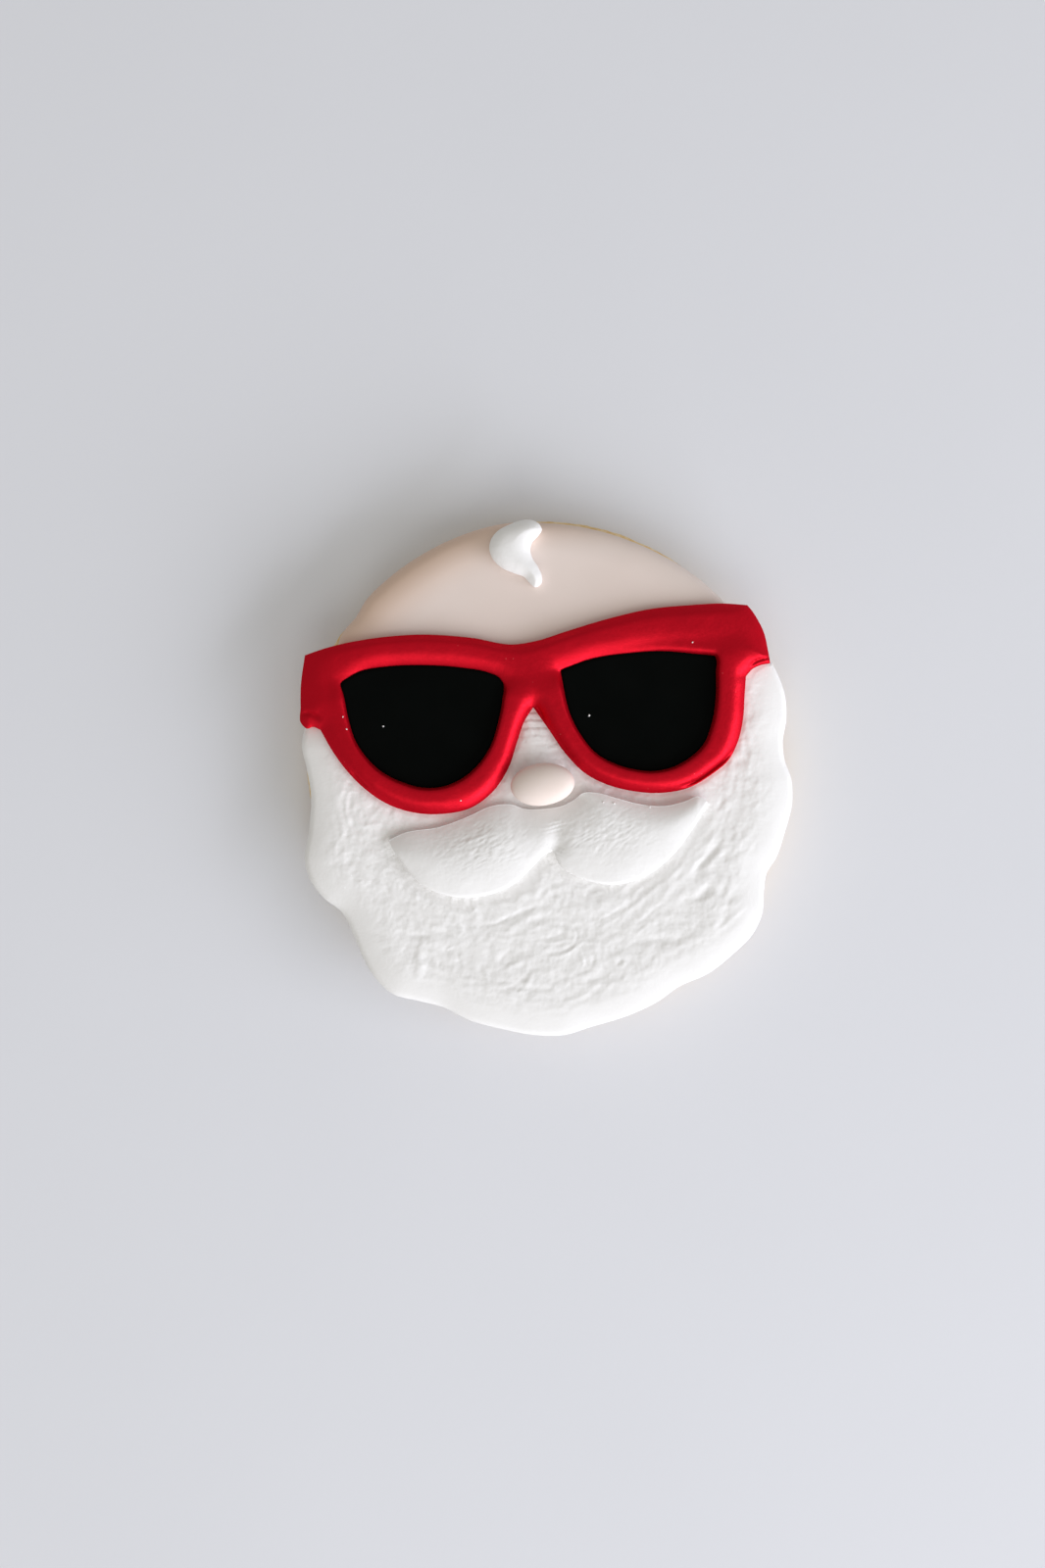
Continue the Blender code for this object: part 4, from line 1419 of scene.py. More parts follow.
@dataclass
class ForeheadSheet:
    """The smooth pink sheet from the seam up to the top of the head. Sizes in mm.

    Attributes:
        sheets: the outlines that it shares with the beard
        edge_round: the radius of its free edge
        spacing: the spacing of its mesh
        undulation: the layers of its slight unevenness
        sunk: how far the uneven surface lies below the smooth one on average
    """

    sheets: Sheets
    edge_round: float = 5.2
    spacing: float = 0.5
    undulation: Sequence[Wrinkles] = (
        Wrinkles(11.0, 14.0, 0.10, 31.0), Wrinkles(4.0, 5.0, 0.03, 37.0),
    )
    sunk: float = 0.05

    def slope(self, depth: Points) -> Points:
        """How the sheet rises inwards from its free edge, from 0 to 1."""
        return rounded(depth, self.edge_round)

    def build(self) -> Piece:
        """The dressed sheet.

        Returns:
            The new object.
        """
        seam = moved_left(smooth_path(self.sheets.seam, self.spacing), self.sheets.gap, closed=False)
        end = moved_left(np.array(self.sheets.seam[-2:]), self.sheets.gap, closed=False)[-1]
        free = smooth_path(np.vstack([end, self.sheets.forehead_edge()]), self.spacing)
        smooth_top = self.sheets.top(self.sheets.rim, self.slope,
                                     Edge(np.vstack([free, seam[:1]])), Edge(np.vstack([seam, end])))

        def top(points: Points) -> Points:
            """The height of the upper side with its slight undulation."""
            uneven = sum(layer.rise(points) for layer in self.undulation)
            return smooth_top(points) + uneven - self.sunk

        slab = Slab([np.vstack([free, seam])], self.sheets.rim, top,
                    self.sheets.biscuit.sheet_underside, self.spacing,
                    self.sheets.biscuit.bend_rings())
        return add_piece("forehead_sheet", slab.mesh("forehead_sheet"), PINK.material(),
                         Slot.PINK, "face_icing")


@dataclass
class Beard:
    """The white sheet below the seam, pressed into strands inside a smooth rolled rim.

    Attributes:
        sheets: the outlines that it shares with the forehead
        rim_round: the width of the band over which it slopes down to its edge
        edge_round: the radius of the edge itself
        edge_share: the share of the drop that the edge's own rounding takes
        spacing: the spacing of its mesh
        centre, ring_radius: the middle of the rings that the strands follow, and the radius at
            which distances along them are true
        sways: how far the strands wander across and along the rings
        strands: the layers of wrinkles along the rings
        patches, patch_band, patch_shares: where the strands come and go, from which height to
            which, and the parts of them that stay and that change
        grain, sunk: the layers without a direction, and the depth of the relief on average
        strokes: single creases and ridges
        rim_band: where the strands start and where they are full, from the free edge
        swell, swell_sunk: the unevenness of the smooth rim and its depth on average
        relief_limits: the highest that the relief may rise, below 0, and the deepest it may go
        calm_peak, calm_foot: the top of the smoother patch between the rims of the sunglasses,
            and how far down the face it reaches
        calm_widening, calm_band: how fast it widens to each side, and the distances from its
            side at which it is calmest and no longer calm
        calm_shares: the parts of the relief that stay in it and that come back
        dents: the grooves that the pieces on it have pressed round themselves
    """

    sheets: Sheets
    rim_round: float = 6.5
    edge_round: float = 0.9
    edge_share: float = 0.36
    spacing: float = 0.24
    centre: tuple[float, float] = (0.0, 3.0)
    ring_radius: float = 28.0
    sways: Sequence[Wrinkles] = (Wrinkles(9.0, 11.0, 3.2, 41.0), Wrinkles(7.0, 7.0, 3.2, 43.0))
    strands: Sequence[Wrinkles] = (
        Wrinkles(4.2, 6.6, 0.15, 2.0), Wrinkles(1.8, 3.2, 0.075, 7.0, sharp=True),
        Wrinkles(1.1, 2.0, 0.07, 12.0),
    )
    patches: Wrinkles = Wrinkles(9.0, 9.0, 1.0, 47.0)
    patch_band: tuple[float, float] = (-0.3, 0.3)
    patch_shares: tuple[float, float] = (0.55, 0.45)
    grain: Sequence[Wrinkles] = (
        Wrinkles(2.2, 2.2, 0.08, 13.0), Wrinkles(1.1, 1.1, 0.06, 15.0),
        Wrinkles(0.55, 0.55, 0.045, 17.0),
    )
    sunk: float = 0.05
    strokes: Sequence[Stroke] = tuple(
        Stroke(*row)
        for group in (CHEEK_FOLDS, LEFT_HOLLOWS, CRESCENT, CHIN_FOLD, WHORL, RIGHT_FURROWS, DABS)
        for row in group
    )
    rim_band: tuple[float, float] = (1.6, 6.4)
    swell: Wrinkles = Wrinkles(5.0, 5.0, 0.06, 53.0)
    swell_sunk: float = 0.03
    relief_limits: tuple[float, float] = (-0.8, 0.75)
    calm_peak: tuple[float, float] = (-1.5, 6.0)
    calm_widening: float = 0.5
    calm_band: tuple[float, float] = (-6.0, 2.0)
    calm_foot: float = -7.0
    calm_shares: tuple[float, float] = (0.35, 0.65)
    dents: Sequence[Stroke] = ()

    def calmed(self, points: Points) -> Points:
        """The part of the relief that each point has.

        Args:
            points: where

        Returns:
            The shares: 1, and less in the smoother patch between the rims of the sunglasses.
        """
        x, y = points.T
        peak_x, peak_y = self.calm_peak
        away = np.abs(x - peak_x) - self.calm_widening * (peak_y - y)
        least, more = self.calm_shares
        return np.where(y > self.calm_foot, least + more * ramp(away, *self.calm_band), 1.0)

    def relief(self, points: Points, edge_depth: Points) -> Points:
        """How far the surface is sunk.

        Args:
            points: where
            edge_depth: the distance of each point from the free edge

        Returns:
            The depths in mm, negative where the surface is raised.
        """
        offset = points - np.array(self.centre)
        angle = np.arctan2(offset[:, 0], -offset[:, 1])
        rings = np.column_stack([np.hypot(offset[:, 0], offset[:, 1]), self.ring_radius * angle])
        places = rings + np.column_stack([sway.rise(rings) for sway in self.sways])
        always, changing = self.patch_shares
        patchy = always + changing * ramp(self.patches.rise(points), *self.patch_band)
        raised = sum(layer.rise(places) for layer in self.strands) * patchy
        raised = raised + sum(layer.rise(points) for layer in self.grain)
        pressed = self.sunk - raised + sum(stroke.press(points) for stroke in self.strokes)
        pressed = pressed * self.calmed(points)
        share = ramp(edge_depth, *self.rim_band)
        swell = self.swell_sunk + self.swell.rise(points)
        relief = np.clip(pressed * share + swell * (1.0 - share), *self.relief_limits)
        return relief + sum(dent.press(points) for dent in self.dents)

    def slope(self, depth: Points) -> Points:
        """How the sheet rises inwards from its free edge, from 0 to 1."""
        return (self.edge_share * rounded(depth, self.edge_round)
                + (1.0 - self.edge_share) * domed(depth, self.rim_round))

    def build(self) -> Piece:
        """The dressed sheet.

        Returns:
            The new object.
        """
        seam = smooth_path(self.sheets.seam[::-1], self.spacing)
        free = smooth_path(self.sheets.beard_edge, self.spacing)
        free_edge = Edge(np.vstack([seam[-1:], free, seam[:1]]))
        smooth_top = self.sheets.top(self.sheets.white_rim, self.slope, free_edge,
                                     Edge(np.vstack([seam, self.sheets.seam[0]])))

        def top(points: Points) -> Points:
            """The height of the upper side with its relief."""
            return smooth_top(points) - self.relief(points, free_edge.away(points))

        slab = Slab([np.vstack([free, seam])], self.sheets.white_rim, top,
                    self.sheets.biscuit.sheet_underside, self.spacing,
                    self.sheets.biscuit.bend_rings())
        return add_piece("beard_sheet", slab.mesh("beard_sheet"), WHITE.material(),
                         Slot.WHITE, "beard")


@dataclass
class Raised:
    """What the pieces that lie on the sheets share. Sizes in mm.

    Attributes:
        sheets: what the pieces lie on
        sag_radius: the distance from the middle past which a piece bends down
        sag_rate: how much it bends for each mm squared
        sunk: how far the underside reaches into the sheets
        overhang: the most that an underside reaches below the level of the sheets past their edge
    """

    sheets: Sheets
    sag_radius: float = 38.5
    sag_rate: float = 0.06
    sunk: float = 0.35
    overhang: float = 1.3

    def base(self) -> float:
        """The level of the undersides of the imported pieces."""
        return foot_of("lens_left")

    def sag(self, points: Points) -> Points:
        """How far a piece bends down over the rim of the biscuit."""
        past = np.maximum(np.hypot(points[:, 0], points[:, 1]) - self.sag_radius, 0.0)
        return self.sag_rate * past**2

    def underside(self, points: Points) -> Points:
        """The underside of a piece, which follows the sheets and hangs free past their edge."""
        lowest = self.base() - self.sag(points) - self.overhang
        return np.maximum(self.sheets.carries(points) - self.sunk, lowest)

    def mesh(self, name: str, loops: Sequence[Points], crown: Height, lip: float | Height,
             spacing: float) -> bpy.types.Mesh:
        """The mesh of one raised piece.

        Args:
            name: the mesh's name
            loops: its outline and openings
            crown: the rise of its top above its rim
            lip: the height of its rim above the level of the undersides, the same all round or not
            spacing: the distance between two points

        Returns:
            The mesh.
        """
        def rim(points: Points) -> Points:
            """The height of the outline."""
            return self.base() - self.sag(points) + (lip(points) if callable(lip) else lip)

        def top(points: Points) -> Points:
            """The height of the upper side."""
            return rim(points) + crown(points)

        return Slab(loops, rim, top, self.underside, spacing).mesh(name)


@dataclass
class Sunglasses:
    """The red frame with its two black lenses. Sizes in mm.

    Attributes:
        raised: what the pieces on the sheets share
        top_bar, left_end, left_rim, right_rim, right_lip, right_end: the stretches of the
            outline, anticlockwise from the brow's right end
        left_opening, right_opening: the openings for the lenses
        lip: the height of its outline above its foot
        bead: the least and the greatest half width over which it is rounded
        lean: the share by which slopes that face down the face are longer, and others shorter
        brow_band: the distances from the top bar's outline at which the lower rims begin
        brow_rise: the length of the top bar's upper slope, for each mm of a short slope
        blend: the rounding where two slopes meet
        droop, droop_band: how far the left end sinks, and how far left of the middle
        brow_drop: how much lower the top bar is than the lower rims
        spacing, lens_spacing: the spacing of their meshes
        grain, sunk: the layers of the frame's grain and their depth on average
        strokes: its creases, slits and notches
        lens_lip, lens_round: the height of a lens's outline and the radius of its edge
        lens_reach: how far a lens reaches into the wall of the frame
        ripple, ripple_sunk: the unevenness of the lenses and its depth on average
    """

    raised: Raised
    top_bar: Knots = (
        (33.1, 26.4), (28.9, 26.6), (23.3, 26.3), (17.2, 25.7), (11.0, 24.3), (3.3, 22.0),
        (-1.4, 20.5), (-5.0, 19.9), (-12.3, 21.0), (-20.1, 21.5), (-28.1, 20.9), (-36.0, 19.3),
        (-39.5, 18.2),
    )
    left_end: Knots = (
        (-39.5, 18.2), (-40.1, 13.1), (-40.1, 9.6), (-40.0, 7.0), (-38.9, 6.1), (-38.1, 6.4),
        (-36.8, 5.9),
    )
    left_rim: Knots = (
        (-36.8, 5.9), (-35.0, 2.7), (-32.8, -0.4), (-29.6, -3.7), (-25.9, -6.2), (-21.1, -7.7),
        (-16.3, -7.8), (-12.3, -6.9), (-8.6, -4.2), (-6.0, -0.2), (-4.6, 4.0), (-3.4, 7.4),
        (-2.0, 9.6),
    )
    right_rim: Knots = (
        (-2.0, 9.6), (0.6, 5.9), (3.3, 2.0), (6.5, -1.2), (9.7, -2.9), (14.2, -4.1),
        (19.0, -4.4), (23.3, -3.6), (27.3, -1.3), (29.9, 0.9), (31.3, 3.5), (32.3, 7.5),
        (32.6, 11.8), (32.8, 14.7),
    )
    right_lip: Knots = ((32.8, 14.7), (33.9, 15.9), (35.2, 16.5), (36.8, 16.8))
    right_end: Knots = (
        (36.8, 16.8), (36.4, 19.2), (35.8, 21.9), (34.7, 24.2), (33.8, 25.6), (33.1, 26.4),
    )
    left_opening: Knots = (
        (-33.4, 13.5), (-32.9, 11.5), (-32.1, 7.5), (-31.0, 4.1), (-29.2, 1.4), (-26.6, -1.0),
        (-23.4, -2.6), (-20.1, -3.5), (-16.7, -3.3), (-13.5, -1.9), (-11.0, 0.3), (-9.0, 3.3),
        (-7.8, 7.0), (-7.1, 10.7), (-7.0, 13.4), (-7.8, 14.4), (-9.4, 15.1), (-13.8, 15.9),
        (-20.1, 16.3), (-25.7, 16.1), (-30.2, 15.3), (-33.4, 13.5),
    )
    right_opening: Knots = (
        (2.6, 15.6), (3.0, 12.7), (4.2, 8.1), (5.8, 5.1), (8.2, 2.2), (11.6, 0.3), (15.0, -0.6),
        (17.2, -0.8), (20.6, -0.2), (23.4, 1.3), (25.7, 3.5), (27.1, 7.0), (27.8, 12.1),
        (27.8, 15.5), (27.85, 17.5), (27.7, 17.9), (27.2, 18.0), (24.4, 18.3), (19.0, 18.7),
        (13.4, 18.3), (7.8, 17.4), (2.6, 15.6),
    )
    lip: float = 0.55
    bead: tuple[float, float] = (1.6, 3.6)
    lean: float = 0.48
    brow_band: tuple[float, float] = (5.0, 9.0)
    brow_rise: float = 1.3
    blend: float = 0.07
    droop: float = 1.8
    droop_band: tuple[float, float] = (27.0, 41.0)
    brow_drop: float = 0.6
    spacing: float = 0.26
    grain: Sequence[Wrinkles] = (
        Wrinkles(6.0, 6.0, 0.12, 61.0), Wrinkles(1.6, 1.6, 0.035, 67.0),
        Wrinkles(0.6, 0.6, 0.02, 71.0),
    )
    sunk: float = 0.06
    strokes: Sequence[Stroke] = (
        Stroke(((-40.4, 8.3), (-38.6, 8.6), (-36.4, 7.4)), 0.35, 0.45),
        Stroke(((32.9, 16.2), (34.6, 17.2), (37.0, 17.8)), 0.22, 0.60),
        Stroke(((31.0, 3.2), (29.3, 1.0), (27.1, -0.8), (24.3, -2.6), (21.3, -3.6)), 0.24, 1.3),
        Stroke(((-32.3, 0.1), (-30.5, -2.1), (-28.3, -4.0)), 0.2, 0.6),
        Stroke(((23.6, -2.4), (23.9, -2.5)), 0.3, 0.3),
        Stroke(((-36.5, 17.2), (-35.5, 13.0), (-34.9, 9.0)), 0.9, 0.12),
    )
    lens_lip: float = 0.5
    lens_round: float = 0.8
    lens_reach: float = 0.35
    lens_spacing: float = 0.5
    ripple: Wrinkles = Wrinkles(7.0, 7.0, 0.05, 73.0)
    ripple_sunk: float = 0.03

    def build_frame(self) -> Piece:
        """The dressed frame.

        Returns:
            The new object.
        """
        outline = corner_chain((self.top_bar, self.left_end, self.left_rim, self.right_rim,
                                self.right_lip, self.right_end), self.spacing)
        loops = [outline] + [smooth_path(opening, self.spacing)[::-1]
                             for opening in (self.left_opening, self.right_opening)]
        openings = [Edge(loop, closed=True) for loop in loops[1:]]
        top_bar, *others = [
            Edge(np.vstack([smooth_path(stretch, self.spacing), stretch[-1]]))
            for stretch in (self.top_bar, self.left_end, (*self.left_rim, *self.right_rim[1:]),
                            (*self.right_lip, *self.right_end[1:]))
        ]
        height = top_of("glasses_frame") - self.raised.base() - self.lip

        def crown(points: Points) -> Points:
            """The bead of the frame, with its grain and its creases.

            Args:
                points: the points of the frame

            Returns:
                The rise above the frame's outline, in mm.
            """
            above, inner = top_bar.away(points), depth_in(points, openings)
            beside = [edge.away(points) for edge in others]
            outer = np.min([above, *beside], axis=0)
            half = np.clip(0.5 * (outer + inner), *self.bead)
            lower = ramp(above, *self.brow_band)
            long, short = half * (1.0 + self.lean), half * (1.0 - self.lean)
            rise = 0.5 * rounded(above, short) + 0.5 * ramp(above, 0.0, self.brow_rise * short)
            for depth in beside:
                rise = softly_least(rise, soft_round(depth, long), self.blend)
            inwards = (1.0 - lower) * soft_round(inner, long) + lower * rounded(inner, short)
            rise = softly_least(rise, inwards, self.blend)
            uneven = sum(layer.rise(points) for layer in self.grain) - self.sunk
            drooped = self.droop * ramp(-points[:, 0], *self.droop_band)
            drooped = drooped + self.brow_drop * (1.0 - lower)
            pressed = sum(stroke.press(points) for stroke in self.strokes)
            return rise * (height + uneven - drooped) - pressed

        mesh = self.raised.mesh("sunglasses_frame", loops, crown, self.lip, self.spacing)
        return add_piece("sunglasses_frame", mesh, RED.material(), Slot.RED, "glasses_frame")

    def build_lens(self, name: str, opening: Knots, node: str) -> Piece:
        """One dressed lens.

        Args:
            name: the piece's name
            opening: the opening of the frame that it fills
            node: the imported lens

        Returns:
            The lens, which reaches just into the wall of the frame.
        """
        loop = moved_left(smooth_path(opening, self.lens_spacing), -self.lens_reach)
        edges = [Edge(loop, closed=True)]
        height = top_of(node) - self.raised.base() - self.lens_lip

        def crown(points: Points) -> Points:
            """The flat lens with a faint ripple."""
            level = height + self.ripple.rise(points) - self.ripple_sunk
            return level * rounded(depth_in(points, edges), self.lens_round)

        mesh = self.raised.mesh(name, [loop], crown, self.lens_lip, self.lens_spacing)
        return add_piece(name, mesh, BLACK.material(), Slot.BLACK, node)

    def build(self) -> list[Piece]:
        """The dressed frame and lenses.

        Returns:
            The new objects.
        """
        return [
            self.build_frame(),
            self.build_lens("left_lens", self.left_opening, "lens_left"),
            self.build_lens("right_lens", self.right_opening, "lens_right"),
        ]


@dataclass
class Moustache:
    """Two plump lobes that meet in a crease under the nose. Sizes in mm.

    Attributes:
        raised: what the pieces on the sheets share
        left_lobe, right_lobe: the lower edges of the lobes, from left to right
        top_edge: the upper edge, from the right tip to the left one
        lip: the height of the lower edges above the foot
        top_lips, top_shoulders: the height of the upper edge and the width of the slope down to
            it, right and left of the parting
        parting: where the upper edge changes from one to the other
        edge_drop, edge_round: the height and width of the rounding along the lower edges
        shoulder: the width of the slope from the crest down to the lower edges
        crest_drop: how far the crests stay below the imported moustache
        blend: the rounding where the slopes meet
        lift: how far the whole top is raised
        spacing: the spacing of its mesh
        strokes: the crease between the lobes and the folds beside it
        scratches, scratch_turn: the layers of the scratches, and their direction in degrees
        scratch_spots: where they are: the middle, the half width and the half height
        spot_strength: how strong they are in the middle of a spot, before they are cut off at 1
        grain, grain_shares: the layers without a direction, and the parts of them that are
            everywhere and that come with the scratches
        swell, sunk: the soft unevenness of the whole and its depth on average
    """

    raised: Raised
    left_lobe: Knots = (
        (-25.7, -12.2), (-24.4, -14.5), (-22.5, -17.2), (-20.3, -19.4), (-17.4, -20.8),
        (-13.9, -21.5), (-10.3, -21.2), (-7.1, -20.3), (-4.2, -18.5), (-1.8, -16.1),
        (0.1, -14.4), (1.2, -13.9),
    )
    right_lobe: Knots = (
        (1.2, -13.9), (2.3, -16.2), (4.6, -17.8), (7.8, -19.0), (11.0, -19.4), (14.2, -18.8),
        (17.9, -17.0), (21.1, -14.2), (23.5, -11.0), (25.3, -8.2), (26.4, -5.8),
    )
    top_edge: Knots = (
        (26.4, -5.8), (24.9, -5.0), (23.0, -5.7), (19.8, -6.5), (15.8, -6.3), (11.8, -5.3),
        (8.4, -4.4), (6.2, -4.4), (4.6, -5.6), (2.4, -6.6), (-0.4, -7.0), (-3.4, -7.0),
        (-5.6, -6.3), (-9.0, -6.6), (-12.3, -8.1), (-17.1, -9.9), (-23.5, -11.1),
        (-25.7, -12.2),
    )
    lip: float = 0.95
    top_lips: tuple[float, float] = (0.95, 0.45)
    top_shoulders: tuple[float, float] = (6.0, 9.0)
    parting: float = 5.4
    edge_drop: float = 0.5
    edge_round: float = 0.45
    shoulder: float = 7.8
    crest_drop: float = 0.5
    blend: float = 0.25
    lift: float = 0.1
    spacing: float = 0.2
    strokes: Sequence[Stroke] = (
        Stroke(((1.2, -14.6), (2.0, -11.8), (1.4, -9.0)), 1.5, 0.42),
        Stroke(((-3.2, -15.6), (-0.6, -13.2), (0.8, -11.6)), 1.0, -0.1),
        Stroke(((-13.5, -12.9), (-11.5, -11.8), (-9.1, -11.1)), 0.22, -0.06),
    )
    scratches: Sequence[Wrinkles] = (
        Wrinkles(0.5, 1.8, 0.055, 81.0, sharp=True), Wrinkles(0.42, 0.9, 0.05, 83.0),
    )
    grain: Sequence[Wrinkles] = (Wrinkles(1.3, 1.3, 0.05, 84.0), Wrinkles(0.6, 0.6, 0.035, 85.0))
    grain_shares: tuple[float, float] = (0.3, 0.7)
    swell: Wrinkles = Wrinkles(4.0, 4.0, 0.06, 87.0)
    sunk: float = 0.06
    scratch_turn: float = -60.0
    scratch_spots: Sequence[tuple[float, float, float, float]] = (
        (-10.6, -12.9, 7.0, 4.0), (9.3, -10.9, 6.6, 3.9),
    )
    spot_strength: float = 1.2

    def build(self) -> Piece:
        """The dressed moustache.

        Returns:
            The new object.
        """
        loops = [corner_chain((self.left_lobe, self.right_lobe, self.top_edge), self.spacing)]
        upper = smooth_path(self.top_edge, self.spacing)
        sides = (upper[:, 0] > self.parting, upper[:, 0] < self.parting)
        above_lobes = [Edge(upper[side]) for side in sides]
        lower_edges = [
            Edge(smooth_path(lobe, self.spacing)) for lobe in (self.left_lobe, self.right_lobe)
        ]
        height = top_of("moustache") - self.raised.base() - self.crest_drop

        def lobes(points: Points) -> Points:
            """The lobes, which are thick along their lower edges and thin along the top one.

            Args:
                points: the points of the moustache

            Returns:
                The height above the foot, in mm.
            """
            below = depth_in(points, lower_edges)
            thick = (self.lip + self.edge_drop * rounded(below, self.edge_round)
                     + (height - self.lip - self.edge_drop) * domed(below, self.shoulder))
            for edge, lip, shoulder in zip(above_lobes, self.top_lips, self.top_shoulders):
                rise = domed(edge.away(points), shoulder)
                thick = softly_least(thick, lip + (height - lip) * rise, self.blend)
            return thick + self.lift

        def details(points: Points) -> Points:
            """The creases, the grain and the scratches on the middles of the lobes.

            Args:
                points: the points of the moustache

            Returns:
                The rise above the smooth lobes, in mm.
            """
            pressed = sum(stroke.press(points) for stroke in self.strokes)
            places = turned(points, self.scratch_turn)
            scratched = sum(layer.rise(places) for layer in self.scratches)
            spots = sum(
                np.exp(-(((points[:, 0] - x) / wide) ** 2) - ((points[:, 1] - y) / tall) ** 2)
                for x, y, wide, tall in self.scratch_spots
            )
            grained = sum(layer.rise(points) for layer in self.grain)
            worked = np.minimum(self.spot_strength * spots, 1.0)
            always, scratchy = self.grain_shares
            detail = scratched * worked + grained * (always + scratchy * worked)
            return detail + self.swell.rise(points) - self.sunk - pressed

        mesh = self.raised.mesh("moustache_lobes", loops, details, lobes, self.spacing)
        return add_piece("moustache_lobes", mesh, WHITE.material(), Slot.WHITE, "moustache")


@dataclass
class Nose:
    """A smooth egg that lies across the face. Sizes in mm.

    Attributes:
        raised: what the pieces on the sheets share
        centre: its middle
        half_size: half its length and half its width
        tilt: how far its length is turned anticlockwise from +X, in degrees
        segments: how many faces its mesh has round it and from end to end
        unevenness: the share of its size by which it departs from a smooth egg
        bulge_rate: how many bulges there are in each mm
        bulge_place: which bulges
        buried: how much deeper than the other pieces it is sunk
        upright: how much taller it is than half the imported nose, above and below its middle
    """

    raised: Raised
    centre: tuple[float, float] = (-0.5, -3.0)
    half_size: tuple[float, float] = (5.35, 3.55)
    tilt: float = 8.0
    segments: tuple[int, int] = (96, 56)
    unevenness: float = 0.05
    bulge_rate: float = 0.22
    bulge_place: tuple[float, float, float] = (5.0, 0.0, 0.0)
    buried: float = 0.3
    upright: float = 0.075

    def build(self) -> Piece:
        """The dressed nose.

        Returns:
            The new object.
        """
        base = foot_of("nose") - self.raised.sunk - self.buried
        tall = 0.5 * (top_of("nose") - foot_of("nose")) + self.upright
        shape = bmesh.new()
        size = Matrix.Diagonal((*self.half_size, tall, 1.0))
        around, along = self.segments
        bmesh.ops.create_uvsphere(shape, u_segments=around, v_segments=along, radius=1.0, matrix=size)
        for vert in shape.verts:
            bulge = noise.noise(self.bulge_rate * vert.co + Vector(self.bulge_place))
            vert.co *= 1.0 - self.unevenness * (0.5 + 0.5 * bulge)
        turn = Matrix.Rotation(math.radians(self.tilt), 4, "Z")
        middle = top_of("nose") - tall
        shape.transform(Matrix.Translation((*self.centre, middle)) @ turn)
        for vert in shape.verts:
            vert.co.z = max(vert.co.z, base)
        shape.transform(Matrix.Scale(MM, 4))
        mesh = bpy.data.meshes.new("nose_egg")
        shape.to_mesh(mesh)
        shape.free()
        mesh.shade_smooth()
        return add_piece("nose_egg", mesh, NOSE.material(), Slot.NOSE, "nose")


@dataclass
class HairCurl:
    """A comma of hair whose tail points down the forehead. Sizes in mm.

    Attributes:
        raised: what the pieces on the sheets share
        outline: its outline, anticlockwise from its upper right
        lip: the height of its outline above its foot
        shoulder: the width of the slope up to its crest
        edge_share: the part of that width over which its edge is a quarter round
        edge_mix: the part of its rise that is the quarter round and the part that is a dome
        spacing: the spacing of its mesh
        swell: its unevenness
        sunk: how far it lies below the smooth curl on average
    """

    raised: Raised
    outline: Knots = (
        (-1.0, 39.5), (-2.2, 40.2), (-3.8, 40.2), (-5.8, 39.5), (-7.8, 38.4), (-8.9, 37.0),
        (-9.2, 35.5), (-8.6, 33.8), (-7.0, 32.3), (-5.2, 31.5), (-3.4, 30.8), (-2.6, 29.9),
        (-1.7, 29.2), (-0.7, 29.8), (-0.6, 31.0), (-1.2, 32.5), (-2.1, 33.9), (-2.5, 35.4),
        (-2.2, 36.5), (-1.2, 37.6), (-0.6, 38.6),
    )
    lip: float = 1.0
    shoulder: float = 3.2
    edge_share: float = 0.6
    edge_mix: tuple[float, float] = (0.4, 0.6)
    spacing: float = 0.2
    swell: Wrinkles = Wrinkles(2.5, 2.5, 0.05, 91.0)
    sunk: float = 0.03

    def build(self) -> Piece:
        """The dressed curl.

        Returns:
            The new object.
        """
        loops = [smooth_path(self.outline, self.spacing, closed=True)]
        edges = [Edge(loops[0], closed=True)]
        height = top_of("hair_curl") - self.raised.base() - self.lip

        def crown(points: Points) -> Points:
            """The rounded comma.

            Args:
                points: the points of the curl

            Returns:
                The rise above its outline, in mm.
            """
            depth = depth_in(points, edges)
            edge, dome = self.edge_mix
            rise = (edge * rounded(depth, self.edge_share * self.shoulder)
                    + dome * domed(depth, self.shoulder))
            return height * rise + self.swell.rise(points) - self.sunk

        mesh = self.raised.mesh("hair_comma", loops, crown, self.lip, self.spacing)
        return add_piece("hair_comma", mesh, WHITE.material(), Slot.WHITE, "hair_curl")


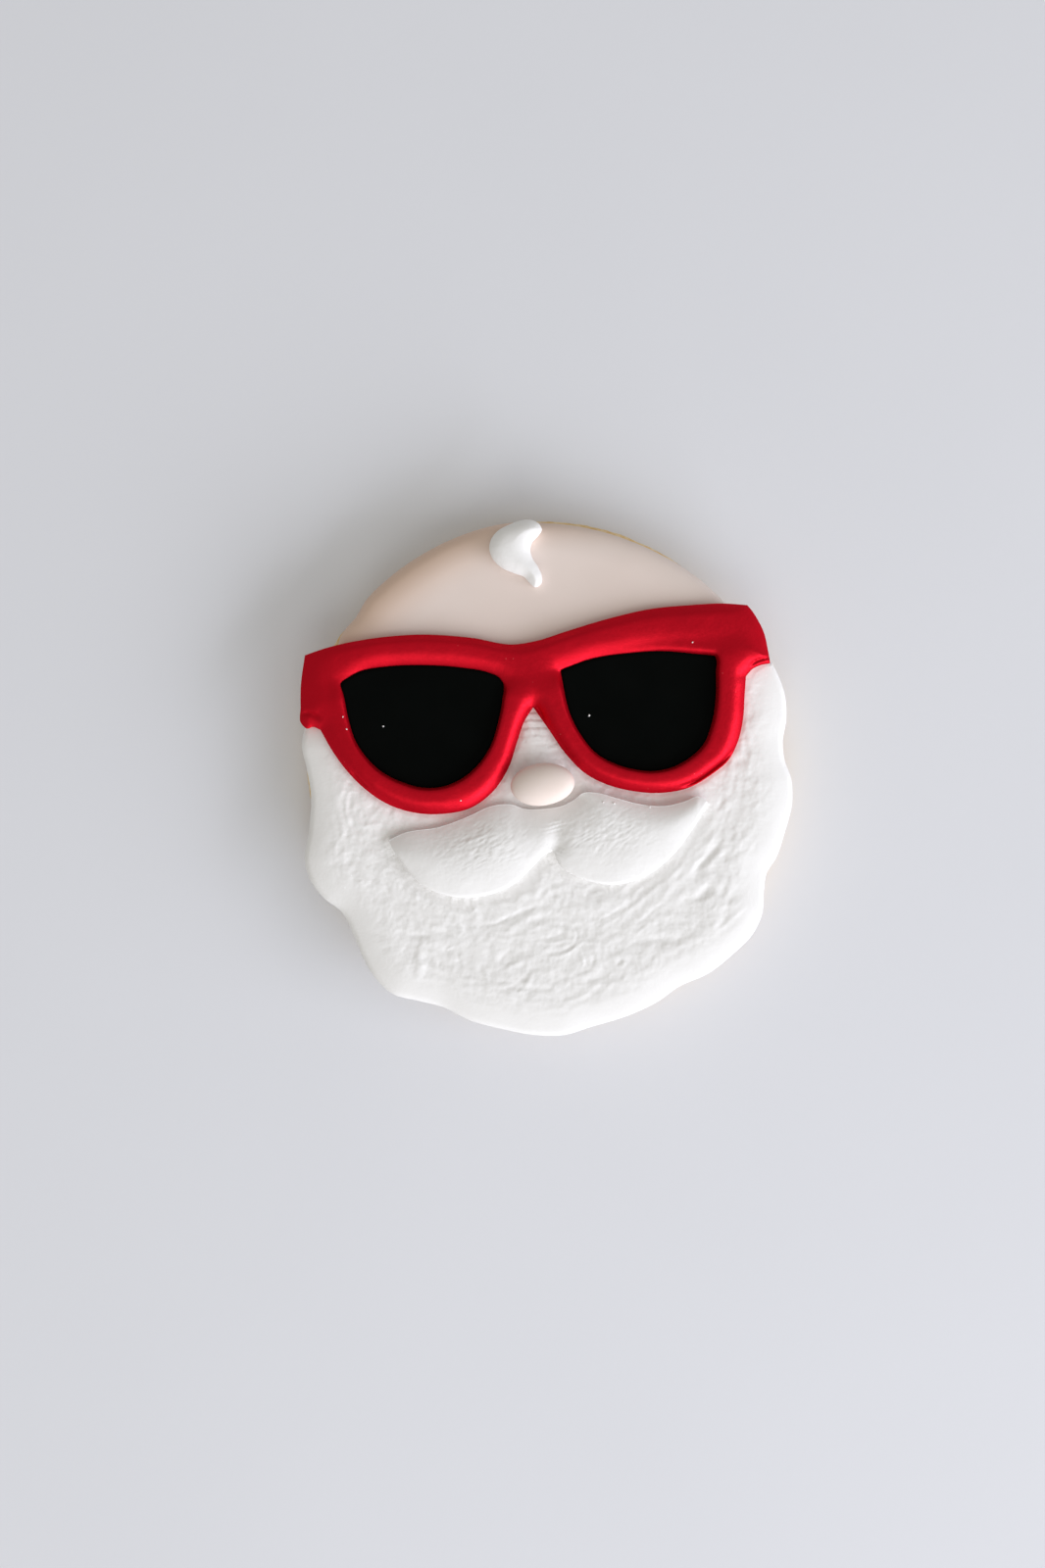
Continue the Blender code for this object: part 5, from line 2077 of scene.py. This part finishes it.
@dataclass
class Crumbs:
    """Loose grains of dry sugar paste that lie where they fell. Sizes in mm.

    Attributes:
        name: the piece's name
        finish: what the grains are made of
        spots: the place and radius of each grain
        proportions: the length, width and height of a grain, for each mm of its radius
        seat: how high its middle lies above what it fell on, for each mm of its radius
        spin: how far each grain is turned from the one before it, in radians
        facet: the size of the bumps of a grain
        facet_depth: their depth
        seed: which bumps
        clearance: how far above the part the search for what it fell on starts
    """

    name: str
    finish: IcingFinish
    spots: Sequence[tuple[float, float, float]]
    proportions: tuple[float, float, float] = (1.0, 0.75, 0.7)
    seat: float = 0.3
    spin: float = 1.3
    facet: float = 0.15
    facet_depth: float = 0.03
    seed: int = 95
    clearance: float = 10.0

    def build(self) -> Piece:
        """The dressed grains, joined into one mesh.

        Returns:
            The new object.
        """
        depsgraph = bpy.context.evaluated_depsgraph_get()
        shape = bmesh.new()
        for i, (x, y, radius) in enumerate(self.spots):
            above = Vector((x * MM, y * MM, CAD_BOX[1].z + self.clearance * MM))
            hit, place, *_ = bpy.context.scene.ray_cast(depsgraph, above, Vector((0, 0, -1)))
            if not hit:
                continue
            seat = Matrix.Translation(place + Vector((0, 0, self.seat * radius * MM)))
            turn = Matrix.Rotation(self.spin * i, 4, "Z") @ Matrix.Diagonal((*self.proportions, 1.0))
            bmesh.ops.create_icosphere(shape, subdivisions=2, radius=radius * MM, matrix=seat @ turn)
        noise.seed_set(self.seed)
        for vert in shape.verts:
            vert.co += Vector(noise.noise_vector(vert.co / (self.facet * MM))) * self.facet_depth * MM
        mesh = bpy.data.meshes.new(self.name)
        shape.to_mesh(mesh)
        shape.free()
        mesh.shade_smooth()
        return add_piece(self.name, mesh, self.finish.material(), self.finish.slot)


@dataclass(frozen=True)
class Lamp:
    """A soft light that faces the biscuit. Sizes in mm, angles in degrees.

    Attributes:
        name: its name
        azimuth: its direction, anticlockwise from +X
        elevation: its height above the table
        distance: how far it is from the biscuit
        size: its width and height
        power: its power in watts
        colour: its colour
    """

    name: str
    azimuth: float
    elevation: float
    distance: float
    size: tuple[float, float]
    power: float
    colour: Colour

    def build(self) -> None:
        """Hangs the light."""
        light = bpy.data.lights.new(self.name, "AREA")
        light.shape = "RECTANGLE"
        light.size, light.size_y = (side * MM for side in self.size)
        light.energy = self.power
        light.color = self.colour
        azimuth, elevation = math.radians(self.azimuth), math.radians(self.elevation)
        way = Vector((math.cos(azimuth) * math.cos(elevation),
                      math.sin(azimuth) * math.cos(elevation), math.sin(elevation)))
        lamp = bpy.data.objects.new(self.name, light)
        lamp.location = way * self.distance * MM
        lamp.rotation_mode = "QUATERNION"
        lamp.rotation_quaternion = way.to_track_quat("Z", "Y")
        lamp.visible_camera = False
        bpy.context.scene.collection.objects.link(lamp)


@dataclass
class Studio:
    """The table top, the light and the camera. Sizes in mm, angles in degrees.

    Attributes:
        table_size: the side of the square table top
        lamps: the soft lights
        sky: the strength of the light from everywhere else
        sky_tint: its colour
        camera_place: where the camera hangs
        lens: its focal length
        sensor: the sensor's long side
    """

    table_size: float = 4000.0
    lamps: Sequence[Lamp] = (
        Lamp("window", -37.0, 21.5, 1250.0, (1750.0, 640.0), 20.0, (0.96, 0.985, 1.09)),
        Lamp("ceiling", -92.0, 48.0, 2400.0, (1300.0, 1300.0), 9.2, (1.03, 1.0, 0.93)),
    )
    sky: float = 0.42
    sky_tint: Colour = (1.02, 1.0, 0.95)
    camera_place: tuple[float, float, float] = (-3.755, -2.94, 366.81)
    lens: float = 50.0
    sensor: float = 36.0

    def build_table(self) -> None:
        """The table top, which isn't part of the object."""
        shape = bmesh.new()
        bmesh.ops.create_grid(shape, x_segments=8, y_segments=8, size=0.5 * self.table_size * MM)
        mesh = bpy.data.meshes.new("table_top")
        shape.to_mesh(mesh)
        shape.free()
        mesh.materials.append(TableFinish().material())
        table = bpy.data.objects.new("table_top", mesh)
        bpy.context.scene.collection.objects.link(table)

    def build_sky(self) -> None:
        """The light of the room."""
        world = bpy.data.worlds.new("room")
        world.use_nodes = True
        bpy.context.scene.world = world
        background = world.node_tree.nodes["Background"]
        background.inputs["Color"].default_value = (*self.sky_tint, 1.0)
        background.inputs["Strength"].default_value = self.sky

    def build_camera(self) -> None:
        """The camera, which looks straight down."""
        lens = bpy.data.cameras.new("camera")
        lens.lens = self.lens
        lens.sensor_width = self.sensor
        lens.clip_start = 0.01
        camera = bpy.data.objects.new("camera", lens)
        camera.location = Vector(self.camera_place) * MM
        bpy.context.scene.collection.objects.link(camera)
        bpy.context.scene.camera = camera

    def build(self) -> None:
        """Everything round the biscuit."""
        self.build_table()
        for lamp in self.lamps:
            lamp.build()
        self.build_sky()
        self.build_camera()
        bpy.context.scene.view_settings.view_transform = "Standard"


# The half width, the depth and the taper of the grooves that the moustache's lobes and the rims
# of the sunglasses press into the beard.
LOBE_DENT = (1.6, 0.62, 0.1)
RIM_DENT = (0.45, 0.15, 0.1)

# The place and the radius in mm of each grain on the lenses, the frame and the moustache.
CRUMB_SPOTS = (
    (-26.48, 6.50, 0.16), (7.13, 8.26, 0.20), (11.2, -6.1, 0.2), (9.4, -5.9, 0.16),
    (17.0, -6.7, 0.18), (-13.8, -5.65, 0.14), (-33.0, 8.0, 0.13), (-32.4, 6.0, 0.15),
    (23.95, 20.15, 0.15),
)


def write_sizes() -> None:
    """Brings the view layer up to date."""
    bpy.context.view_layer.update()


def main() -> None:
    """Builds the studio, the biscuit and then its icing, from the bottom up."""
    logging.basicConfig(level=logging.INFO, format="%(message)s")
    Studio().build()
    biscuit = Biscuit()
    sheets = Sheets(biscuit)
    raised = Raised(sheets)
    biscuit.build()
    ForeheadSheet(sheets).build()
    Beard(sheets, dents=(
        Stroke(Moustache.left_lobe, *LOBE_DENT), Stroke(Moustache.right_lobe, *LOBE_DENT),
        Stroke(Sunglasses.left_rim, *RIM_DENT), Stroke(Sunglasses.right_rim, *RIM_DENT),
    )).build()
    Sunglasses(raised).build()
    Moustache(raised).build()
    Nose(raised).build()
    HairCurl(raised).build()
    Crumbs("sugar_crumbs", WHITE, CRUMB_SPOTS).build()
    write_sizes()


if __name__ == "__main__":
    main()
